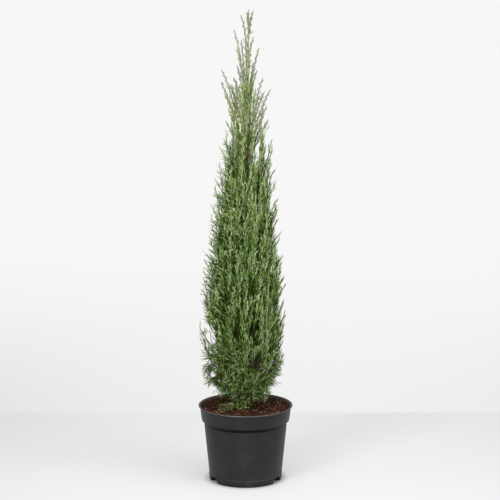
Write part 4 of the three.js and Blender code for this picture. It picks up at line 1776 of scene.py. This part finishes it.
    def feathers(self, axes: Strands, bare: Array) -> Strands:
        """Feathers all round the plume axes, shorter towards the tip.

        Args:
            axes: The plume axes.
            bare: The share of each axis that has no feathers.

        Returns:
            The feathers within reach, the axes' own tips among them.
        """
        length = axes.lengths() * (1 - bare)
        hangs = self.sag[:-1] > 0
        spacing = np.where(hangs, 0.5, 1.0) * self.feather_spacing
        counts = np.maximum(4, np.round(length / spacing)).astype(int)
        plume, number = spread(counts)
        share = (number + 0.5 * self.random.random(len(plume))) / counts[plume]
        share = mix(bare[plume], 0.98, share)
        around = 2 * ((number * GOLDEN_ANGLE / (2 * np.pi) + EVEN_STEP * plume) % 1) - 1
        power = np.where(hangs[plume], 1.0, 1.5)
        turn = np.pi / 2 + np.pi * np.sign(around) * np.abs(around) ** power
        turn += 0.3 * self.random.normal(size=len(plume))
        height, _ = axes.at(plume, share)
        low = self.low_share(height[:, 2])
        radial = np.cross(axes.across[plume], UP)
        left, right = np.maximum(0, -radial[:, 0]), np.maximum(0, radial[:, 0])
        angle = mix(*self.feather_angle, np.maximum(0, np.sin(turn))) * (1 + 0.8 * left - 0.2 * right)
        angle *= self.even(len(plume), 0.7, 1.3) * mix(1.0, 1.6, low)
        reach = self.feather_length * mix(1.0, 0.5, share) * self.even(len(plume), 0.7, 1.1)
        reach *= self.slim[plume]
        size = np.minimum(1.0, (self.growth.radius(axes.points[plume, -1, 2]) + 20) / 92)
        lift = self.feather_lift * (1 - left)
        lift = mix(lift, self.even(len(plume), 2.4 * self.low_lift, 0.3) - 0.25 * left, low)
        made = axes.sprout(plume, share, angle, turn, reach * size, 0.5 - 0.45 * left, lift, FEATHER_STEPS)
        tips = Strands(axes.points[:, -FEATHER_STEPS:], axes.across, axes.tone, axes.mass)
        made = join([made, tips])
        kept = self.trim(made)
        middle = made.points[:, FEATHER_MIDDLE]
        aside = between(-middle[:, 0], 25, 50) * self.low_share(middle[:, 2] - 20)
        kept &= (self.random.random(len(made)) > self.left_gaps * aside) | hangs[made.tone]
        return made.pick(self.within_reach(made) & kept & ~self.in_pocket(middle))

    def inner_feathers(self) -> Strands:
        """Sprigs straight from the trunk, and the low ones that lean over the soil.

        Returns:
            The sprigs as feathers.
        """
        trunk = self.trunk_line()
        count = self.trunk_sprigs
        number = np.arange(count)
        share = 0.015 + 0.95 * (number / count) ** 1.5
        turn = number * GOLDEN_ANGLE + 0.4 * self.random.normal(size=count)
        angle = mix(1.0, 0.42, np.minimum(1.0, share * 3)) * self.even(count, 0.8, 1.2)
        length = mix(62.0, 40.0, share) * self.even(count, 0.75, 1.1)
        zeros = np.zeros(count, dtype=int)
        sprigs = trunk.sprout(zeros, share, angle, turn, length, curl=0.3, lift=0.15, steps=FEATHER_STEPS)
        heights_at = sprigs.points[:, 0, 2]
        sprigs.mass = self.nearest_mass(heights_at)
        bearing, reach, lean = np.array(self.ground_sprigs).T
        low = np.full(len(bearing), 0.008) + 0.02 * np.arange(len(bearing)) / len(bearing)
        zeros = np.zeros(len(bearing), dtype=int)
        ground = trunk.sprout(zeros, low, lean, -bearing, reach, curl=-0.1, lift=0.0, steps=FEATHER_STEPS)
        ground.mass = self.nearest_mass(ground.points[:, 0, 2])
        ground.tone = np.full(len(bearing), GROUND)
        sprigs.tone = np.where(heights_at < self.ground_up_to, GROUND, sprigs.tone)
        return join([sprigs, ground])

    def nearest_mass(self, heights: Array) -> Array:
        """The mass whose root is nearest to each height."""
        roots = np.array([self.growth.root_height(s.middle) for s in self.growth.spaces()])
        return np.abs(heights[:, None] - roots[None]).argmin(axis=1)

    def leader(self) -> Strands:
        """The leader and the separate shoots of the spire, as feathers.

        Returns:
            The leader first, then each listed shoot, bowed up from its foot on the trunk's line.
        """
        rule = self.growth
        foot, top = rule.trunk_points(np.array((rule.trunk_top, rule.crown_top))) - ((0, 0, 6), (0, 0, 5))
        share = np.linspace(0, 1, FEATHER_STEPS)[:, None]
        points = [foot + (top - foot) * share]
        for low, high, out, turn, early in self.spire:
            start = np.array((float(rule.trunk_axis(low)), 0.0, low))
            reach = abs(out) / max(0.25, abs(math.cos(turn)))
            sign = 1.0 if out >= 0 else -1.0
            aim = np.array((sign * math.cos(turn), math.sin(turn), 0.0))
            rise = np.array((0.0, 0.0, high - low))
            aim[0] -= start[0] / reach
            swing = early * share**0.35 + (1 - early) * share**3.5
            points.append(start + rise * share**1.1 + aim * min(reach, 50.0) * swing)
        count = len(points)
        across, mass = np.tile((1.0, 0.0, 0.0), (count, 1)), np.full(count, len(rule.spaces()))
        return Strands(np.array(points), across, np.zeros(count, dtype=int), mass)

    def shoots(self, feathers: Strands) -> Strands:
        """Leafy shoots on the feathers.

        Args:
            feathers: The feathers.

        Returns:
            The shoots.
        """
        length = feathers.lengths()
        top = feathers.mass == len(self.growth.spaces())
        free = top | (feathers.tone == GROUND)
        middle = feathers.points[:, FEATHER_MIDDLE]
        inner = (self.depths(middle) < self.inner_depth) & ~free
        sparse = np.where(feathers.points[:, 0, 2] < self.spire_green, 1.6, 1.9)
        spacing = np.where(top, sparse, np.where(inner, self.inner_spacing, 1.0)) * self.shoot_spacing
        counts = np.maximum(3, np.round(length / spacing)).astype(int)
        feather, number = spread(counts)
        share = np.minimum(1.0, (number + 0.6) / (counts[feather] - 0.4))
        end = number == counts[feather] - 1
        low = self.low_share(middle[feather, 2])
        flat = top[feather] | (number % 3 < 2) & (self.random.random(len(feather)) > low)
        turn = np.where(flat, number * np.pi, number * GOLDEN_ANGLE + feather)
        turn += np.where(top[feather], 0.6, 0.4) * self.random.normal(size=len(feather))
        angle = np.where(end, 0.05, self.shoot_angle * self.even(len(feather), 0.6, 1.3))
        angle *= mix(1.0, 1.3, low)
        angle *= np.where(top[feather], 1.15, np.where(free[feather], 1.25, 1.0))
        reach = self.shoot_length * mix(1.0, 0.6, share) * self.even(len(feather), 0.7, 1.15)
        reach *= np.where(top[feather], np.where(end, 0.3, 0.9), np.where(free[feather], 0.75, 1.0))
        lift = mix(0.06, self.even(len(feather), -0.3, 0.25), low)
        outward = middle - self.growth.trunk_points(middle[:, 2])
        facing = np.where(top[:, None], feathers.across, unit(np.cross(UP, outward)))
        fan = Strands(feathers.points, facing, feathers.tone, feathers.mass)
        made = fan.sprout(feather, share, angle, turn, reach, curl=0.3, lift=lift, steps=SHOOT_STEPS)
        whole = made.points.copy()
        trimmed = self.trim(made)
        made.points[free[feather]] = whole[free[feather]]
        near_end = np.clip(1 - self.under(made) / self.end_depth, 0, 1) * (1 - low)
        trimmed &= self.random.random(len(made)) > self.end_gaps * near_end
        keep = (trimmed & self.within_reach(made) & ~self.in_pocket(made.points[:, 1])) | free[feather]
        keep &= made.points[:, -1, 2] > self.lowest_leaf
        return made.pick(keep)

    def in_pocket(self, points: Array) -> Array:
        """Which points lie in the crown's open pockets or its openings."""
        return self.in_holes(points, self.pockets, self.pocket_ragged) | self.in_opening(points)

    def in_opening(self, points: Array) -> Array:
        """Which points lie where sky shows through the crown, along the camera's slant."""
        seen = np.stack([points[:, 0], points[:, 2] - self.opening_fall * points[:, 1]], axis=1)
        return self.in_holes(seen, self.openings, self.opening_ragged)

    def in_holes(self, points: Array, holes: Sequence[Sequence[float]], ragged: float) -> Array:
        """Which points lie in round holes.

        Args:
            points: The points.
            holes: The holes, each a middle and a radius.
            ragged: How far a hole's edge wavers, as a share of its radius.

        Returns:
            A mask of the points.
        """
        inside = np.zeros(len(points), dtype=bool)
        for *middle, radius in holes:
            away = np.linalg.norm(points - np.array(middle), axis=1) / radius
            inside |= away + ragged * self.random.random(len(points)) < 1.0
        return inside

    def depths(self, points: Array) -> Array:
        """How far out points stand, 0 at the trunk's line and 1 at the crown's outline.

        Args:
            points: The points.

        Returns:
            Their depths, raised in the narrow upper crown, which light reaches all through.
        """
        rule = self.growth
        light = self.upper_light * between(points[:, 2], *self.upper_crown)
        light += self.spire_light * between(points[:, 2], *self.spire_band)
        return rule.from_trunk(points) / rule.radius(points[:, 2]) + light

    def under(self, strands: Strands) -> Array:
        """How deep stems lie under the leafy surface.

        Args:
            strands: The stems, with their plume's number as tone.

        Returns:
            Millimetres under their own plume's end, less in the narrow upper crown and at the foot and more
            low down, which deal turns into painted light and shade; for sprigs by the soil, an even random
            depth.
        """
        rule = self.growth
        tip = strands.points[:, -1]
        edge = rule.radius(tip[:, 2]) + self.of_plume(self.ends, strands)
        light = self.upper_light * between(tip[:, 2], *self.upper_crown)
        light += self.foot_light * between(tip[:, 2], *self.foot_band)
        depth = (edge - rule.from_trunk(tip)) * (1 - light)
        depth += self.low_shade * between(tip[:, 2], *self.shade_band)
        return np.where(strands.tone == GROUND, self.even(len(tip), *self.ground_depth), depth)

    def deal(self, plume: Array, under: Array, leading: Array) -> Array:
        """Deals out the greens, by plume and by depth under the leafy surface: lighter near it, part their
        own colour and part painted light, and darker deeper in as painted shade.

        Args:
            plume: The plume that each spray belongs to.
            under: How deep each spray lies, in millimetres.
            leading: The leading green of each plume.

        Returns:
            The number of a LeafTone for each spray.
        """
        tone = leading[np.minimum(plume, len(leading) - 1)]
        own = self.random.random(len(plume))
        tone[own < self.mid_up_to] = LeafTone.MID
        low, high = self.ground_olive
        tone[(plume == GROUND) & (own > low) & (own < high)] = LeafTone.OLIVE
        depth = under + self.tone_spread * self.random.normal(size=len(plume))
        fresh, pale, deep, shade = self.tone_depths
        # Lighter greens at the leafy surface, partly painted light; darker greens deeper in, painted shade
        tone[(depth < fresh) & (own > self.fresh_from)] = LeafTone.FRESH
        tone[(depth < pale) & (own > self.pale_from)] = LeafTone.PALE
        tone[depth > deep] = LeafTone.DEEP
        tone[depth > shade] = LeafTone.SHADE
        return tone

    def build(self) -> list[Piece]:
        """Grows the crown and joins it into pieces.

        Returns:
            The finished pieces.
        """
        axes, bare = self.plume_axes()
        feathers = join([self.feathers(axes, bare), self.inner_feathers(), self.leader()])
        greens = (LeafTone.FRESH, LeafTone.MID, LeafTone.BLUE, LeafTone.OLIVE)
        leading = self.random.choice(greens, len(axes) + 1, p=self.leading_shares)
        middle = axes.points[:, AXIS_STEPS // 2]
        low = np.append(self.low_share(middle[:, 2]), 1.0)
        low *= np.append(np.clip(np.abs(middle[:, 0]) / self.blue_aside, self.blue_least, 1), 1.0)
        leading[self.random.random(len(leading)) < self.low_blue * low] = LeafTone.BLUE
        shoots = self.shoots(feathers)
        for strands, above in ((shoots, 0.0), (feathers, self.rib_rise)):
            strands.tone = self.deal(strands.tone, self.under(strands) - above, leading)
        greens = (LeafTone.TIP, LeafTone.PALE, LeafTone.MID, LeafTone.OLIVE)
        for strands in (shoots, feathers):
            top = strands.mass == len(self.growth.spaces())
            low_top = top & (strands.points[:, 0, 2] < self.spire_green)
            for part, shares in ((top, self.spire_shares), (low_top, self.spire_foot_shares)):
                strands.tone[part] = self.random.choice(greens, int(part.sum()), p=shares)
        log.info("%d plumes, %d feathers, %d shoots", len(axes), len(feathers), len(shoots))
        return self.sprays(feathers, shoots) + [self.twigs(axes, feathers)]

    def sprays(self, feathers: Strands, shoots: Strands) -> list[Piece]:
        """Joins the leafy shoots into pieces, mass after mass.

        Args:
            feathers: The feathers, whose own axes are leafy towards their tips.
            shoots: The shoots on them.

        Returns:
            The finished pieces.
        """
        materials = [LEAF_GREENS[tone].material() for tone in LeafTone]
        names = [f"foliage_{k + 1}" for k in range(len(self.growth.spaces()))] + ["foliage_leader"]
        groups: list[tuple[Heap, list[str]]] = [(Heap(), [])]
        for mass, name in enumerate(names):
            group = shoots.pick(shoots.mass == mass)
            inner = self.depths(group.points[:, 1]) < self.inner_depth
            outer = feathers.pick(feathers.mass == mass)
            fine = group.pick(~inner)
            size = mix(1.0, self.low_size, self.low_share(fine.points[:, 1, 2]))
            kinds = [(fine, self.scale, size), (group.pick(inner), self.inner_scale, 1.0)]
            if name == "foliage_leader":
                ribs = (outer, self.scale, self.leader_rib_size)
                kinds = [(group, self.scale, self.leader_size)] + self.leader_rib_rounds * [ribs]
            else:
                outer.points = outer.points[:, 3:]
                ribs = self.rib_size * mix(1.0, self.low_size, self.low_share(outer.points[:, 2, 2]))
                kinds.append((outer, self.scale, ribs))
            made = Heap()
            for strands, scale, size in (kind for kind in kinds if len(kind[0])):
                points, faces, owner = scale.dress(strands, self.core, self.random, size)
                made.add(points, faces, strands.tone[owner])
            fine = kinds[0][0]
            if len(fine):
                straight = Strands(fine.points[:, (0, -1)], fine.across, fine.tone, fine.mass)
                points, faces = tubes(straight, np.full((len(fine), 2), self.core * 1.15), 3)
                # Shoot cores take a mostly darker green: painted shade between the leaves
                under = np.array(CORE_TONES)[fine.tone]
                made.add(points, faces, np.repeat(under, len(faces) // len(fine)))
            if groups[-1][0].triangles() + made.triangles() > self.limit:
                groups.append((Heap(), []))
            heap, held = groups[-1]
            heap.take(made)
            held.append(name)
        return [
            ride(heap.piece(f"sprays_{k + 1}", materials), held)
            for k, (heap, held) in enumerate(groups)
        ]

    def twigs(self, axes: Strands, feathers: Strands) -> Piece:
        """The woody twigs under the leaves.

        Args:
            axes: The plume axes.
            feathers: The feathers.

        Returns:
            The finished piece.
        """
        heap = Heap()
        thin_axes = Strands(axes.points[:, ::4], axes.across, axes.tone, axes.mass)
        thin_feathers = Strands(feathers.points[:, (0, -1)], feathers.across, feathers.tone, feathers.mass)
        kinds = (
            (self.stems(), 1.8, 1.2, 6, 640.0),
            (thin_axes, 1.1, 0.45, 4, 520.0),
            (thin_feathers, 0.55, 0.3, 3, 0.0),
        )
        for strands, thick, thin, sides, green_from in kinds:
            steps = strands.points.shape[1]
            radius = np.linspace(thick, thin, steps)[None] * np.ones((len(strands), 1))
            points, faces = tubes(strands, radius, sides)
            green = strands.points[:, -1, 2] > green_from
            heap.add(points, faces, np.repeat(green.astype(int), len(faces) // len(strands)))
        materials = [self.twig_bark.material(), self.young_bark.material()]
        return ride(heap.piece("twigs", materials, smooth=True))


# Studio
@dataclass
class Studio:
    """The pale floor, the soft light and the camera."""

    camera_place: Triple = (0.009, -3.6, 1.111)
    pitch: float = 79.90
    lens: float = 132.24
    floor_back: float = 0.5
    floor_front: float = -7.0
    floor_half_width: float = 6.0
    wall_low: float = 0.866
    wall_high: float = 0.930
    ambient: float = 0.52
    finish: StudioWhite = StudioWhite()

    def build_floor(self) -> None:
        """Lays the floor."""
        shape = bmesh.new()
        bmesh.ops.create_grid(shape, x_segments=8, y_segments=8, size=0.5)
        depth = self.floor_back - self.floor_front
        bmesh.ops.scale(shape, vec=(2 * self.floor_half_width, depth, 1), verts=shape.verts)
        bmesh.ops.translate(shape, vec=(0, (self.floor_back + self.floor_front) / 2, 0), verts=shape.verts)
        mesh = bpy.data.meshes.new("floor")
        shape.to_mesh(mesh)
        shape.free()
        link("floor", mesh, [self.finish.material()])

    def build_world(self) -> None:
        """Sets the pale wall that the camera sees, darker low down and towards the sides as painted shade,
        and the even light that it gives.
        """
        recipe = Recipe(bpy.data.worlds.new("studio"))
        heading = recipe.node("ShaderNodeTexCoord", output="Generated")
        side, height = (
            recipe.node("ShaderNodeSeparateXYZ", None, {"Vector": heading}, axis) for axis in "XZ"
        )
        # The wall's low and side colours are darker: painted shade
        low, high, painted_side_shade = ((c, c, c * 0.998) for c in (self.wall_low, self.wall_high, 0.6 * self.wall_low))
        away = (side - 0.035) * (side - 0.035) * 9.0
        wall = recipe.blend(height.rise(-0.275, -0.165), recipe.blend(away, low, painted_side_shade), high)
        seen = recipe.node("ShaderNodeBackground", None, {"Color": wall})
        glow = recipe.node("ShaderNodeBackground", None, {"Strength": self.ambient, "Color": (1, 1, 1, 1)})
        camera_ray = recipe.node("ShaderNodeLightPath", output="Is Camera Ray")
        shader = recipe.node("ShaderNodeMixShader", None, {0: camera_ray, 1: glow, 2: seen})
        recipe.end("ShaderNodeOutputWorld", shader)
        bpy.context.scene.world = recipe.owner

    def lamp(self, name: str, place: Triple, aim: Triple, size: float, power: float) -> None:
        """Hangs one soft box.

        Args:
            name: The lamp's name.
            place: Where it hangs, in metres.
            aim: Where it points.
            size: The side of its square.
            power: Its power in watts.
        """
        light = bpy.data.lights.new(name, "AREA")
        light.size, light.energy = size, power
        lamp = bpy.data.objects.new(name, light)
        lamp.location = place
        lamp.rotation_euler = (Vector(aim) - Vector(place)).to_track_quat("-Z", "Y").to_euler()
        bpy.context.scene.collection.objects.link(lamp)

    def build_camera(self) -> None:
        """Stands the camera where the photo was taken from."""
        data = bpy.data.cameras.new("camera")
        data.lens, data.sensor_width = self.lens, 36.0
        camera = bpy.data.objects.new("camera", data)
        camera.location = self.camera_place
        camera.rotation_euler = (math.radians(self.pitch), 0, 0)
        bpy.context.scene.collection.objects.link(camera)
        bpy.context.scene.camera = camera

    def build(self) -> None:
        """Builds the whole studio."""
        self.build_floor()
        self.build_world()
        self.lamp("soft_left", (-1.5, -2.3, 2.5), (0, 0, 0.5), 1.2, 77)
        self.lamp("soft_right", (2.1, -1.3, 1.9), (0, 0, 0.45), 1.7, 51)
        self.lamp("soft_top", (0.1, -0.6, 2.8), (0, 0, 0.4), 1.7, 44)
        self.lamp("soft_front", (-0.5, -3.0, 0.8), (0, 0, 0.25), 1.4, 14)
        self.build_camera()
        bpy.context.scene.view_settings.view_transform = "Standard"


def main() -> None:
    """Builds the pot, the soil, the wood, the foliage and the studio in turn."""
    logging.basicConfig(level=logging.INFO, format="%(message)s")
    growth = Growth()
    Studio().build()
    Pot().build()
    SoilBed().build()
    Wood(growth).build()
    Foliage(growth).build()


if __name__ == "__main__":
    main()
